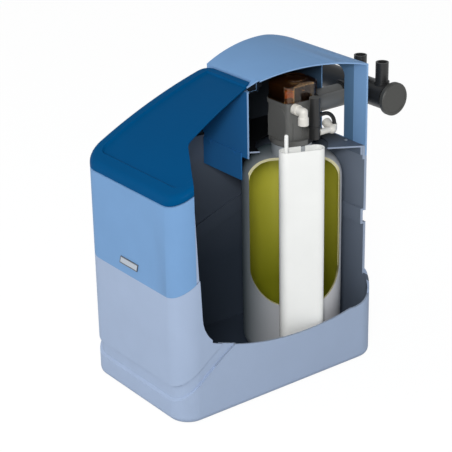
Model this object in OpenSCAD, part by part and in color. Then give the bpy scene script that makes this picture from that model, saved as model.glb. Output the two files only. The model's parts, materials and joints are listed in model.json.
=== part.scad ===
// Cabinet water softener with its right side cut away.
// Origin: centre of the cabinet's footprint on the floor. Front faces -Y, +Z is up.

/* [Cabinet] */
// Width of the cabinet
cab_w = 320; // [300:1:360]
// Depth of the cabinet
cab_d = 500; // [480:1:560]
// Radius of the upright corners
corner_r = 45; // [30:1:60]
// Radius of the edge round the base
base_fillet = 14; // [6:1:20]
// Wall of the brine tank
tank_wall = 4; // [3:0.5:6]
// Floor of the brine tank
tank_floor = 5; // [4:0.5:8]
// Height of the tank rim above the vessel's shoulder
rim_over_vessel = 11; // [8:1:20]
// Wall of the blue cover and hood
cover_wall = 3; // [2:0.5:4]
// Gap between the cover and what it laps
lap_gap = 0.3; // [0.2:0.1:0.6]

/* [Side curves] */
// Height of the styling groove at the front
groove_front_z = 62; // [50:1:80]
// Height of the styling groove at mid depth
groove_mid_z = 222; // [200:1:235]
// Height of the styling groove at the rear
groove_rear_z = 297; // [285:1:310]
// Width of the styling groove
groove_w = 25; // [15:1:30]
// Depth of the styling groove
groove_depth = 5; // [3:0.5:8]
// Drop of the two-tone line below the tank rim at the front
lap_front_drop = 180; // [166:1:196]
// Drop of the two-tone line just behind the front corner
lap_corner_drop = 144; // [131:1:156]
// Distance of that point from the front
lap_corner_run = 51; // [45:1:60]
// Drop of the two-tone line at the rear
lap_rear_drop = 18; // [11:1:36]
// Rise of the lid's top line above the tank rim at the front
lid_front_rise = 21; // [14:1:26]
// Rise of the lid's top line at mid length
lid_mid_rise = 97; // [89:1:104]
// Rise of the lid's top line at its rear edge
lid_rear_rise = 147; // [142:1:151]
// Rise of the hood's crown above the tank rim
hood_crown_rise = 177; // [172:1:184]
// Rise of the hood at the rear
hood_rear_rise = 174; // [166:1:176]

/* [Lid] */
// Distance of the lid's rear edge behind the cabinet's middle
lid_rear_y = 60; // [50:1:70]
// Radius of the lid's rear corners
lid_rear_r = 26; // [14:1:32]
// Height of the lid's skirt
lid_skirt = 15; // [12:1:18]
// Wall of the lid
lid_wall = 2.5; // [2:0.5:3.5]
// Radius of the lid's top edge
lid_fillet = 10; // [6:1:11]
// Width of the raised rim round the panel
lid_rim = 25; // [18:1:30]
// Depth of the recessed panel
lid_recess = 4; // [2:0.5:5]
// Diameter of the hinge pins
hinge_pin_d = 4; // [3:0.5:5]
// Diameter of the lid's hinge barrel
barrel_d = 14; // [12:0.5:15]

/* [Cut-away] */
// Sideways place of the cut at the hood's front wall
cut_wall_x = -8; // [-20:1:10]
// Sideways place of the cut at the lid's rear edge
cut_lid_x = -12; // [-20:1:0]
// Sideways place of the cut at the rear wall
cut_rear_x = 117; // [100:1:130]
// Sideways place of the bend of the cut through the lid
cut_bend_x = 38; // [20:1:50]
// Distance of that bend in front of the cabinet's middle
cut_bend_y = 134; // [120:1:150]
// Distance of the cut in front of the middle at the right wall
cut_side_y = 210; // [200:1:220]
// Radius of the bend
cut_bend_r = 30; // [15:1:45]
// Sill of the window in the right wall
window_sill = 120; // [100:1:140]
// Radius of the window's front lower corner
window_front_r = 75; // [40:1:90]
// Radius of the window's rear lower corner
window_rear_r = 65; // [40:1:80]

/* [Hood] */
// Distance of the hood's front wall behind the cabinet's middle
hood_wall_y = 44; // [40:1:48]
// Drop of the hood's front wall below the tank rim
hood_wall_drop = 12; // [6:1:20]
// Drop of the salt guard's lower edge below the tank rim
guard_low_drop = 62; // [46:1:96]
// Drop of the salt guard's upper edge below the tank rim
guard_top_drop = 4; // [1:1:6]
// Thickness of the salt guard
guard_t = 2.5; // [2:0.5:4]
// Gap between the salt guard's cut end and the vessel
guard_gap = 2.4; // [1:0.1:6]
// Distance of the rivets from the guard's ends
rivet_in = 24; // [12:1:30]
// Width of the pipe opening in the rear wall
opening_w = 71; // [70:1:84]
// Rise of the pipe opening's upper edge above the tank rim
opening_rise = 152; // [134:1:154]
// Radius of the pipe opening's upper corners
opening_r = 20; // [10:1:30]

/* [Deck] */
// Thickness of the deck
deck_t = 3.5; // [2.5:0.5:5]
// Radius of the deck's hole round the valve
deck_hole_r = 74; // [70:1:80]
// Depth of the deck's skirt inside the tank
deck_skirt = 16; // [10:1:20]

/* [Badge] */
// Width of the badge
badge_w = 64; // [40:1:80]
// Height of the badge
badge_h = 16; // [12:1:24]
// Thickness of the badge frame
badge_t = 2; // [1.5:0.5:3]
// Width of the frame's border
badge_border = 2.4; // [1.5:0.1:3]
// Sideways place of the badge
badge_x = -4; // [-20:1:20]
// Rise of the badge's middle above the two-tone line
badge_rise = 27; // [22:1:54]

/* [Vessel] */
// Outer radius of the resin vessel
vessel_r = 102; // [95:1:103]
// Sideways place of the vessel
vessel_x = 15; // [5:1:20]
// Clearance between the vessel and the groove inside the rear wall
vessel_rear_gap = 0.6; // [0.5:0.1:8]
// Height of the vessel's straight side above the floor
vessel_side_h = 380; // [370:1:384]
// Radius of the vessel's shoulder
vessel_shoulder_r = 50; // [46:1:54]
// Radius of the vessel's lower edge
vessel_foot_r = 32; // [20:1:40]
// Outer radius of the neck
neck_r = 41; // [39:0.5:43]
// Height of the neck above the shoulder
neck_h = 23; // [20:1:26]
// Thickness of the outer shell
shell_t = 3; // [2:0.5:4]
// Thickness of the lining
liner_t = 2.2; // [1.5:0.1:3]
// Gap between shell and lining
liner_gap = 0.2; // [0.1:0.05:0.4]
// Distance of the vessel's cut in front of its axis
vessel_cut = 33; // [31:1:45]
// Half width of the vessel's window
vessel_window_half = 92; // [85:1:94]
// Lower edge of the vessel's window
vessel_window_z = 137; // [120:1:160]
// Radius of the window's lower corners
vessel_window_r = 64; // [40:1:70]

/* [Distributor] */
// Outer radius of the riser tube
riser_r = 13.35; // [12:0.05:14]
// Wall of the riser tube
riser_wall = 2; // [1.5:0.5:3]
// Clearance of the riser in its sockets
riser_fit = 0.1; // [0.05:0.05:0.2]
// Radius of the lower distributor
lower_basket_r = 26; // [22:1:30]
// Height of the lower distributor
lower_basket_h = 50; // [40:1:60]
// Radius of the upper distributor
upper_basket_r = 30; // [26:1:31]
// Height of the upper distributor
upper_basket_h = 16; // [12:1:24]

/* [Valve] */
// Width of the valve block
block_w = 68; // [66:1:72]
// Depth of the valve block
block_d = 60; // [58:1:64]
// Height of the valve block
block_h = 75; // [70:1:78]
// Radius of the block's upright edges
block_r = 9; // [5:1:12]
// Radius of the valve's base flange
flange_r = 43; // [42:0.5:48]
// Height of the base flange
flange_h = 12; // [10:1:14]
// Depth of the spigot in the neck
spigot_h = 18; // [12:1:20]
// Thickness of the valve cap
cap_t = 4; // [3:0.5:6]
// Height of the amber cover
dome_h = 43; // [38:1:45]
// Wall of the amber cover
dome_wall = 2; // [1.5:0.5:3]
// Radius of the amber cover's crown
dome_r = 110; // [90:1:130]
// Radius of the amber cover's upright edges
dome_edge = 18; // [16:1:24]
// Radius of the amber cover's upper edge
dome_round = 14; // [10:1:15]
// Reach of the cap and the amber cover behind the block
cover_back = 20; // [16:1:24]
// Radius of the drain tower
tower_r = 11; // [10:0.5:12]
// Height of the drain tower
tower_h = 86; // [76:1:90]
// Gap between the drain tower and the block
tower_gap = 4; // [4:0.5:6]

/* [Gears] */
// Tooth size of the gears
gear_module = 1.25; // [1.2:0.01:1.26]
// Teeth of the program gear
program_teeth = 32; // [30:1:32]
// Teeth of the meter gear
meter_teeth = 24; // [22:1:24]
// Thickness of the gears
gear_t = 10; // [6:1:12]
// Radius of the gear posts
post_r = 3; // [2.5:0.1:4]
// Running clearance of the gears on their posts
post_fit = 0.06; // [0.03:0.01:0.1]

/* [Elbows] */
// Radius of the brine elbow
brine_elbow_r = 9; // [8:0.5:9.5]
// Reach of the brine elbow from the block
brine_elbow_reach = 31; // [27:1:34]
// Radius of the brine elbow's nut
brine_nut_r = 10.7; // [10:0.1:12]
// Radius of the drain elbow's body
drain_elbow_r = 10; // [9:0.5:11]
// Radius of the drain elbow's leg
drain_leg_r = 6.5; // [5.5:0.5:7]
// Reach of the drain elbow from the tower's axis
drain_reach = 45.5; // [42:0.5:50]
// Length of the flow control beside the drain elbow
flow_l = 24; // [20:1:26]
// Rise of the flow control's axis, in degrees
flow_rise = 28; // [15:1:35]
// Radius of the drain hose
hose_r = 4; // [3:0.5:4.5]
// Bend radius of the drain hose
hose_bend = 27; // [24:1:28]

/* [Pipes and bypass] */
// Outer radius of the two pipes
pipe_r = 16; // [14:0.5:16.5]
// Wall of the pipes
pipe_wall = 3.5; // [3:0.5:5]
// Spacing of the pipes
pipe_gap = 35; // [35:0.5:36]
// Distance of the bypass behind the cabinet
bypass_out = 68; // [60:1:80]
// Outer radius of the bypass body
bypass_r = 27; // [25:0.5:29]
// Outer radius of the bypass spool
spool_r = 18.9; // [17:0.1:20]
// Running clearance of the spool
spool_fit = 0.06; // [0.03:0.01:0.1]
// Travel of the spool
spool_travel = 22; // [16:1:24]
// Radius of the bypass knob
knob_r = 34; // [30:0.5:36]
// Thickness of the bypass knob
knob_t = 13; // [10:1:16]
// Outer radius of the upright stubs
stub_r = 13.25; // [12:0.25:14]
// Bore radius of the upright stubs
stub_bore = 10; // [8:0.5:11]
// Height of the stubs above the bypass axis
stub_h = 69; // [60:1:80]
// Depth of the pipe socket in a stub
stub_socket = 40; // [30:1:42]
// Radius of the water way below that socket
stub_port = 7.5; // [5:0.5:8]
// Sideways place of the inlet stub
inlet_stub_x = 18; // [14:1:24]
// Sideways place of the outlet stub
outlet_stub_x = 83; // [70:1:86]

/* [Brine well] */
// Length of the oval well
well_l = 92; // [84:1:96]
// Width of the oval well
well_w = 32; // [30:1:34]
// Wall of the well
well_wall = 2.5; // [2:0.5:3.5]
// Height of the well's rim above the tank floor
well_h = 479; // [440:1:490]
// Turn of the well away from the side wall
well_turn = 21; // [18:1:24]
// Gap between the well and the vessel
well_gap = 0.8; // [0.5:0.1:0.9]
// Radius of the brine rod
rod_r = 4; // [3:0.5:5]
// Length of the brine rod
rod_l = 480; // [470:1:510]
// Radius of the float
float_r = 11.5; // [10:0.5:12]
// Height of the float
float_h = 45; // [30:1:60]
// Travel of the float
float_travel = 220; // [150:5:280]

/* [Hidden] */
$fn = 96;

// Colours as the photo shows them
tank_grey = "#a6b4cb";
cover_blue = "#7398c6";
lid_blue = "#00568f";
valve_grey = "#4c4c4a";
pipe_black = "#2c2c2c";
fitting_white = "#e8e4dc";

// Small overlap that lets a cutter pass through a face
eps = 0.5;
// A length that reaches past every wall
reach = 900;

front_y = -cab_d / 2;
rear_y = cab_d / 2;
right_x = cab_w / 2;

// Heights: the vessel sets the tank rim, and the rim sets the cover, lid and hood
shoulder_z = tank_floor + vessel_side_h;
neck_base_z = shoulder_z + vessel_shoulder_r;
neck_top_z = neck_base_z + neck_h;
rim_z = neck_base_z + rim_over_vessel;
lap_front_z = rim_z - lap_front_drop;
lap_corner_z = rim_z - lap_corner_drop;
lap_rear_z = rim_z - lap_rear_drop;
lid_front_z = rim_z + lid_front_rise;
lid_mid_z = rim_z + lid_mid_rise;
lid_rear_z = rim_z + lid_rear_rise;
hood_crown_z = rim_z + hood_crown_rise;
hood_rear_z = rim_z + hood_rear_rise;
hood_wall_z = rim_z - hood_wall_drop;
guard_low_z = rim_z - guard_low_drop;
guard_top_z = rim_z - guard_top_drop;
badge_z = lap_front_z + badge_rise;

// Circle through three points of the side view
function arc_centre(a, b, c) =
  let (d = 2 * (a.x * (b.y - c.y) + b.x * (c.y - a.y) + c.x * (a.y - b.y)))
  [
    ((a * a) * (b.y - c.y) + (b * b) * (c.y - a.y) + (c * c) * (a.y - b.y)) / d,
    ((a * a) * (c.x - b.x) + (b * b) * (a.x - c.x) + (c * c) * (b.x - a.x)) / d
  ];
function arc_z(centre, radius, y) = centre.y + sqrt(radius * radius - (y - centre.x) * (y - centre.x));

groove_c = arc_centre([front_y, groove_front_z], [0, groove_mid_z], [rear_y, groove_rear_z]);
groove_rad = norm([rear_y, groove_rear_z] - groove_c);
lap_c = arc_centre([front_y, lap_front_z], [front_y + lap_corner_run, lap_corner_z], [rear_y, lap_rear_z]);
lap_rad = norm([rear_y, lap_rear_z] - lap_c);
lid_mid_y = (front_y + lid_rear_y) / 2;
lid_c = arc_centre([front_y, lid_front_z], [lid_mid_y, lid_mid_z], [lid_rear_y, lid_rear_z]);
lid_rad = norm([lid_rear_y, lid_rear_z] - lid_c);
hood_mid_y = (lid_rear_y + rear_y) / 2;
hood_c = arc_centre([lid_rear_y, lid_rear_z], [hood_mid_y, hood_crown_z], [rear_y, hood_rear_z]);
hood_rad = norm([rear_y, hood_rear_z] - hood_c);

// Insets of the nested walls from the cabinet's outline
tank_neck_in = cover_wall + lap_gap;
tank_neck_inner = tank_neck_in + tank_wall;

// Vessel, valve and pipes hang on the vessel's axis
vessel_y = rear_y - groove_depth - tank_wall - vessel_rear_gap - vessel_r;
liner_in = shell_t + liner_gap;
liner_inner = liner_in + liner_t;
block_x = vessel_x - 3;
block_y = vessel_y - 4;
block_z = neck_top_z + flange_h;
cap_z = block_z + block_h;
dome_z = cap_z + cap_t;
pipe_mid_x = block_x + 2;
pipe_z = cap_z - pipe_gap / 2 - 0.5;
opening_side = 0.5;
tower_x = block_x + block_w / 2 + tower_r + tower_gap;
tower_y = block_y + block_d / 2 - 4.4;
bypass_y = rear_y + bypass_out;
bypass_z = pipe_z + 6;

// Line of the cut: hood wall to rear wall
cut_a = [cut_wall_x, hood_wall_y];
cut_b = [cut_rear_x, rear_y];
cut_dir = (cut_b - cut_a) / norm(cut_b - cut_a);
cut_turn = atan2(-cut_dir.x, cut_dir.y);

// Well beside the vessel
well_dir = [sin(well_turn), cos(well_turn)];
well_out = [cos(well_turn), -sin(well_turn)];
well_slide = -19;
well_c = [vessel_x, vessel_y] + well_out * (vessel_r + well_gap + well_w / 2) + well_dir * well_slide;
float_gap = 0.6;
rod_p = well_c - well_dir * (well_l / 2 - well_wall - float_r - float_gap);

// Extrudes a side view (drawn as depth, height) across the cabinet
module side_prism(w = cab_w + 40) {
  translate([-w / 2, 0, 0])
    rotate([90, 0, 90])
      linear_extrude(w)
        children();
}

// Rounded rectangle of the cabinet's plan, inset all round
module plan_outline(inset) {
  r = corner_r - inset;
  hw = right_x - corner_r;
  hd = rear_y - corner_r;
  square([2 * hw, 2 * (rear_y - inset)], center = true);
  square([2 * (right_x - inset), 2 * hd], center = true);
  for (sx = [-1, 1], sy = [-1, 1])
    translate([sx * hw, sy * hd])
      circle(r);
}

module plan_prism(inset, z0, z1) {
  translate([0, 0, z0])
    linear_extrude(z1 - z0)
      plan_outline(inset);
}

// Profile of a wall whose lower edge is rounded
module rounded_foot(half, h) {
  translate([-half, base_fillet])
    square([2 * half, h - base_fillet]);
  translate([-half + base_fillet, 0])
    square([2 * (half - base_fillet), h]);
  for (s = [-1, 1])
    translate([s * (half - base_fillet), base_fillet])
      circle(base_fillet);
}

// Block with the cabinet's plan and a rounded lower edge
module footed_block(h) {
  hw = right_x - corner_r;
  hd = rear_y - corner_r;
  side_prism(2 * hw)
    rounded_foot(rear_y, h);
  rotate([0, 0, 90])
    side_prism(2 * hd)
      rounded_foot(right_x, h);
  for (sx = [-1, 1], sy = [-1, 1])
    translate([sx * hw, sy * hd, 0])
      rotate_extrude()
        intersection() {
          rounded_foot(corner_r, h);
          square([corner_r, h]);
        }
}

// Everything under an arc of the side view
module under_arc(centre, radius, y0, y1) {
  intersection() {
    translate(centre)
      circle(radius, $fn = 360);
    translate([y0, 0])
      square([y1 - y0, reach]);
  }
}

// Band of the styling groove in the side view
module groove_band(w) {
  intersection() {
    difference() {
      translate(groove_c)
        circle(groove_rad + w / 2, $fn = 360);
      translate(groove_c)
        circle(groove_rad - w / 2, $fn = 360);
    }
    translate([front_y - eps, 0])
      square([cab_d + 2 * eps, groove_rear_z + w]);
  }
}

// Points of a corner p, between a and b, rounded by radius r
function rounded(a, p, b, r, n = 10) =
  let (
    u = (a - p) / norm(a - p),
    v = (b - p) / norm(b - p),
    half = acos(u * v) / 2,
    m = p + (u + v) / norm(u + v) * r / sin(half),
    t0 = p + u * r / tan(half) - m,
    t1 = p + v * r / tan(half) - m,
    a0 = atan2(t0.y, t0.x),
    turn = atan2(t0.x * t1.y - t0.y * t1.x, t0 * t1)
  )
  [for (i = [0 : n]) m + r * [cos(a0 + turn * i / n), sin(a0 + turn * i / n)]];

// Plan of what is cut away behind and beside the bend, from a start point and a rear point
module cut_plan(start, rear) {
  bend = [cut_bend_x, -cut_bend_y];
  side = [right_x, -cut_side_y];
  far = bend + (side - bend) * 1.6;
  polygon(concat([rear, start], rounded(start, bend, side, cut_bend_r), [far, [far.x, rear.y]]));
}

// Cut through the cabinet: along the cut line behind the hood's front wall
module cut_away() {
  linear_extrude(reach)
    cut_plan(cut_a, cut_b + cut_dir * 2 * corner_r);
}

// Cut through the lid: straight on to its rear edge
module lid_cut() {
  start = [cut_lid_x, lid_rear_y];
  linear_extrude(reach)
    cut_plan(start, start + [0, corner_r]);
}

// Side view of the window in the right wall
module window_side() {
  lean = 15;
  low_y = -cut_side_y + lean;
  over_rim = 50;
  high = [low_y - lean, rim_z + over_rim];
  sill_rise = 32;
  low = [low_y, window_sill + sill_rise];
  back = [rear_y + 1, window_sill];
  up = [back.x, high.y];
  polygon(concat([up, high], rounded(high, low, back, window_front_r),
                 rounded(low, back, up, window_rear_r)));
}

module brine_tank() {
  foot_bump_r = 14;
  foot_bump_h = 6;
  foot_bump_x = 85;
  foot_bump_ahead = 74;
  foot_bump_y = vessel_y - vessel_r - foot_bump_ahead;
  color(tank_grey)
  difference() {
    union() {
      difference() {
        union() {
          intersection() {
            footed_block(rim_z);
            side_prism()
              under_arc(lap_c, lap_rad, front_y - eps, rear_y + eps);
          }
          plan_prism(tank_neck_in, base_fillet, rim_z);
        }
        difference() {
          side_prism()
            groove_band(groove_w);
          plan_prism(groove_depth, 0, rim_z);
        }
        tank_cavity();
      }
      for (sx = [-1, 1])
        translate([sx * foot_bump_x, foot_bump_y, tank_floor - eps])
          cylinder(h = foot_bump_h + eps, r = foot_bump_r);
    }
    intersection() {
      side_prism()
        window_side();
      cut_away();
    }
  }
}

// Inside of the tank: follows the wall past the groove and the two-tone step
module tank_cavity() {
  difference() {
    union() {
      intersection() {
        plan_prism(tank_wall, tank_floor, rim_z + eps);
        side_prism()
          under_arc(lap_c, lap_rad - 2 * tank_wall, front_y - eps, rear_y + eps);
      }
      plan_prism(tank_neck_inner, tank_floor, rim_z + eps);
    }
    difference() {
      side_prism()
        groove_band(groove_w + 2 * tank_wall);
      plan_prism(groove_depth + tank_wall, 0, rim_z + 2 * eps);
    }
  }
}

module tank_deck() {
  front = hood_wall_y + cover_wall + lap_gap;
  skirt_in = tank_neck_inner + lap_gap;
  color(tank_grey)
  difference() {
    union() {
      intersection() {
        plan_prism(tank_neck_in + lap_gap, rim_z, rim_z + deck_t);
        translate([-reach / 2, front, 0])
          cube([reach, reach, reach]);
      }
      intersection() {
        difference() {
          plan_prism(skirt_in, rim_z - deck_skirt, rim_z + eps);
          plan_prism(skirt_in + deck_t, 0, rim_z + 2 * eps);
        }
        translate([-reach / 2, front, 0])
          cube([reach, reach, reach]);
      }
    }
    translate([vessel_x, vessel_y, rim_z - deck_skirt - eps])
      cylinder(h = deck_skirt + deck_t + 2 * eps, r = deck_hole_r);
    translate([vessel_x, vessel_y, rim_z - deck_skirt - eps])
      cylinder(h = deck_skirt - 1 + eps, r = vessel_r + 2);
    cut_away();
  }
}

// Places of the deck screws
deck_screw_at = [
  [cut_rear_x - 50, rear_y - 12],
  [-(right_x - 60), rear_y - 12],
  [-(right_x - 12), vessel_y - 40]
];

module deck_screws() {
  head_r = 4;
  head_h = 2.4;
  color("#d8dde2")
  for (p = deck_screw_at)
    translate([p.x, p.y, rim_z + deck_t]) {
      cylinder(h = head_h / 2, r = head_r);
      cylinder(h = head_h, r = head_r * 0.7);
    }
}

// Side view under the lid and hood, lowered
module cover_top(down) {
  under_arc(lid_c, lid_rad - lid_skirt - lap_gap - down, front_y - eps, lid_rear_y + lap_gap + down);
  under_arc(hood_c, hood_rad - down, lid_rear_y + lap_gap + down, rear_y + eps);
}

// Hinge axis: the lid's rear edge is a round barrel about it
hinge_y = lid_rear_y - barrel_d / 2;
hinge_z = arc_z(lid_c, lid_rad, hinge_y) - barrel_d / 2;
hinge_lug_w = 10;
hinge_lug_in = 22;
hinge_lug_xs = [-(right_x - lid_rear_r - hinge_lug_in), cut_lid_x - hinge_lug_in];
hinge_lug_r = hinge_pin_d / 2 + 1.5;
hinge_gap = 1;

module top_cover() {
  color(cover_blue)
  difference() {
    union() {
      difference() {
        intersection() {
          plan_prism(0, 0, reach);
          side_prism()
            cover_top(0);
        }
        side_prism()
          under_arc(lap_c, lap_rad + lap_gap, front_y - eps, rear_y + eps);
        cover_inside();
      }
      hood_front_wall();
      hinge_lugs();
    }
    translate([pipe_mid_x + opening_side, rear_y - 2 * corner_r, rim_z + deck_t])
      pipe_opening();
    for (x = hinge_lug_xs)
      translate([x - hinge_lug_w, hinge_y, hinge_z])
        rotate([0, 90, 0])
          cylinder(h = 2 * hinge_lug_w, r = hinge_pin_d / 2 + 0.02);
    cut_away();
  }
}

// Inside of the cover: open over the salt space, closed by the roof over the valve
module cover_inside() {
  difference() {
    plan_prism(cover_wall, 0, reach);
    side_prism()
      difference() {
        translate([hood_wall_y, 0])
          square([reach, reach]);
        cover_top(cover_wall);
      }
  }
}

module hood_front_wall() {
  intersection() {
    plan_prism(tank_neck_inner + lap_gap, hood_wall_z, reach);
    side_prism()
      intersection() {
        translate([hood_wall_y, hood_wall_z])
          square([cover_wall, reach]);
        cover_top(0);
      }
  }
  intersection() {
    plan_prism(0, rim_z + deck_t + 1, reach);
    side_prism()
      intersection() {
        translate([hood_wall_y, rim_z + deck_t + 1])
          square([cover_wall, reach]);
        cover_top(0);
      }
  }
}

// Lugs that stand on the hood's step and hold the hinge pins
module hinge_lugs() {
  step_z = arc_z(lid_c, lid_rad, hinge_y) - lid_skirt - lap_gap - cover_wall;
  for (x = hinge_lug_xs)
    translate([x - hinge_lug_w / 2, hinge_y, 0]) {
      translate([0, 0, hinge_z])
        rotate([0, 90, 0])
          cylinder(h = hinge_lug_w, r = hinge_lug_r);
      translate([0, -hinge_lug_r, step_z])
        cube([hinge_lug_w, 2 * hinge_lug_r, hinge_z - step_z]);
    }
}

// Opening in the rear wall for the two pipes
module pipe_opening() {
  h = opening_rise - deck_t;
  rotate([-90, 0, 0])
    linear_extrude(reach)
      mirror([0, 1]) {
        translate([-opening_w / 2, 0])
          square([opening_w, h - opening_r]);
        translate([-opening_w / 2 + opening_r, 0])
          square([opening_w - 2 * opening_r, h]);
        for (s = [-1, 1])
          translate([s * (opening_w / 2 - opening_r), h - opening_r])
            circle(opening_r);
      }
}

module salt_guard() {
  color(cover_blue)
  difference() {
    intersection() {
      plan_prism(tank_neck_inner + lap_gap, guard_low_z, guard_top_z);
      translate([-reach + guard_cut_x, hood_wall_y - guard_t, 0])
        cube([reach, guard_t, reach]);
    }
    for (x = guard_rivet_x)
      translate([x, 0, (hood_wall_z + guard_top_z) / 2])
        rotate([-90, 0, 0])
          cylinder(h = reach, r = rivet_r + 0.1);
  }
}

// The guard ends where the vessel's side crosses its plane
guard_half = sqrt(max(0, vessel_r * vessel_r - (vessel_y - hood_wall_y) * (vessel_y - hood_wall_y)));
guard_cut_x = vessel_x - guard_half - guard_gap;
rivet_r = 2;
guard_rivet_x = [-(right_x - tank_neck_inner - rivet_in), guard_cut_x - rivet_in];

module guard_rivets() {
  head_r = 3.4;
  head_t = 1.4;
  color(cover_blue)
  for (x = guard_rivet_x)
    translate([x, hood_wall_y, (hood_wall_z + guard_top_z) / 2])
      rotate([90, 0, 0]) {
        cylinder(h = guard_t + head_t, r = rivet_r);
        translate([0, 0, guard_t])
          cylinder(h = head_t, r = head_r);
      }
}

module badge_frame() {
  color("#5b6470")
  translate([badge_x, front_y, badge_z])
    rotate([90, 0, 0])
      difference() {
        linear_extrude(badge_t)
          badge_outline(badge_w, badge_h);
        translate([0, 0, badge_t / 2])
          linear_extrude(badge_t)
            badge_outline(badge_w - 2 * badge_border, badge_h - 2 * badge_border);
      }
}

module badge_plate() {
  gap = 0.1;
  color("#d9dfe6")
  translate([badge_x, front_y - badge_t / 2, badge_z])
    rotate([90, 0, 0])
      linear_extrude(badge_t / 2 - gap)
        badge_outline(badge_w - 2 * badge_border - 2 * gap, badge_h - 2 * badge_border - 2 * gap);
}

// Badge outline: a bar whose ends lean
module badge_outline(w, h) {
  lean = h * 0.3;
  polygon([
    [-w / 2, -h / 2],
    [w / 2 - lean, -h / 2],
    [w / 2, h / 2],
    [-w / 2 + lean, h / 2]
  ]);
}

// Half outline of the lid at an inset: front corner, side, rear corner
lid_corner_steps = 9;
lid_side_steps = 12;
lid_rear_steps = 5;
// The rim is narrower at the rear: its share of the width past the rounded edge
lid_rear_share = 0.5;
function rear_inset(inset) = min(inset, lid_fillet) + max(0, inset - lid_fillet) * lid_rear_share;
function lid_half(inset) =
  let (
    hw = right_x - inset,
    y0 = front_y + inset,
    y1 = lid_rear_y - rear_inset(inset),
    r0 = max(corner_r - inset, 4),
    r1 = max(lid_rear_r - inset, 2)
  )
  concat(
    [for (i = [0 : lid_corner_steps])
      let (a = -90 + 90 * i / lid_corner_steps)
      [hw - r0 + r0 * cos(a), y0 + r0 + r0 * sin(a)]],
    [for (i = [1 : lid_side_steps - 1])
      [hw, y0 + r0 + (y1 - r1 - y0 - r0) * i / lid_side_steps]],
    [for (i = [0 : lid_rear_steps])
      let (a = 90 * i / lid_rear_steps)
      [hw - r1 + r1 * cos(a), y1 - r1 + r1 * sin(a)]]
  );
lid_half_n = lid_corner_steps + lid_side_steps + lid_rear_steps + 1;
function lid_ring(inset, rise) =
  let (half = lid_half(inset))
  concat(
    [for (p = half) [p.x, p.y, arc_z(lid_c, lid_rad, p.y) + rise]],
    [for (i = [lid_half_n - 1 : -1 : 0])
      [-half[i].x, half[i].y, arc_z(lid_c, lid_rad, half[i].y) + rise]]
  );

// Rings over the top, from the skirt to the panel, then under it back to the skirt
lid_bend = [for (i = [0 : 5]) let (a = 18 * i) [lid_fillet * (1 - cos(a)), lid_fillet * (sin(a) - 1)]];
lid_over = concat(
  [[0, -lid_skirt]],
  lid_bend,
  [[lid_rim, 0], [lid_rim + 1.2, -0.25 * lid_recess], [lid_rim + 3.4, -0.85 * lid_recess],
   [lid_rim + 5, -lid_recess]]
);
lid_under = [
  [lid_rim + 5, -lid_recess - lid_wall],
  [lid_rim - 1, -lid_recess - lid_wall],
  [lid_rim - 3, -lid_wall],
  [lid_fillet, -lid_wall],
  [lid_wall, -lid_fillet],
  [lid_wall, -lid_skirt]
];

module lid_shell() {
  rings = concat(lid_over, lid_under);
  n = 2 * lid_half_n;
  m = len(rings);
  top = len(lid_over) - 1;
  pts = [for (k = rings) each lid_ring(k.x, k.y)];
  sides = [for (k = [0 : m - 1]) if (k != top)
    let (k1 = (k + 1) % m)
    for (i = [0 : n - 1])
      let (a = k * n + i, b = k * n + (i + 1) % n, c = k1 * n + (i + 1) % n, d = k1 * n + i)
      each [[a, d, c], [a, c, b]]];
  panel = [for (i = [0 : lid_half_n - 2])
    let (a = top * n + i, b = top * n + n - 1 - i)
    each [[a, b, b - 1], [a, b - 1, a + 1]]];
  under = [for (i = [0 : lid_half_n - 2])
    let (a = (top + 1) * n + i, b = (top + 1) * n + n - 1 - i)
    each [[a, a + 1, b - 1], [a, b - 1, b]]];
  polyhedron(points = pts, faces = concat(sides, panel, under), convexity = 6);
}

barrel_x0 = -(right_x - lid_rear_r - 2);
barrel_x1 = cut_lid_x + 20;

// Round of the barrel about the hinge axis
module hinge_round(x0, x1) {
  translate([x0, hinge_y, hinge_z])
    rotate([0, 90, 0])
      cylinder(h = x1 - x0, r = barrel_d / 2);
}

// What the corner beside the barrel would swing into the step: all below the axis outside the round
module corner_swing() {
  difference() {
    translate([-right_x - eps, hinge_y, hinge_z - reach])
      cube([right_x + barrel_x0 + 2 * eps, reach, reach]);
    hinge_round(-right_x - 2 * eps, barrel_x1);
  }
}

// Lid: shell trimmed to the barrel behind the axis, with room for the lugs from below and behind
module salt_lid() {
  notch_w = hinge_lug_w + 2 * hinge_gap;
  color(lid_blue)
  difference() {
    union() {
      difference() {
        lid_shell();
        translate([barrel_x0, hinge_y, 0])
          cube([reach, reach, reach]);
        corner_swing();
      }
      hinge_round(barrel_x0, barrel_x1);
    }
    for (x = hinge_lug_xs) {
      translate([x - notch_w / 2, hinge_y - hinge_lug_r - 1, 0])
        cube([notch_w, reach, hinge_z + hinge_lug_r + 0.3]);
      translate([x - 3 * hinge_lug_w, hinge_y, hinge_z])
        rotate([0, 90, 0])
          cylinder(h = 6 * hinge_lug_w, r = hinge_pin_d / 2 + pin_fit);
    }
    lid_cut();
  }
}

pin_fit = 0.06;
module lid_hinge_pins() {
  half = 13;
  color("#c9ced3")
  for (x = hinge_lug_xs)
    translate([x - half, hinge_y, hinge_z])
      rotate([0, 90, 0])
        cylinder(h = 2 * half, r = hinge_pin_d / 2);
}

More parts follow.
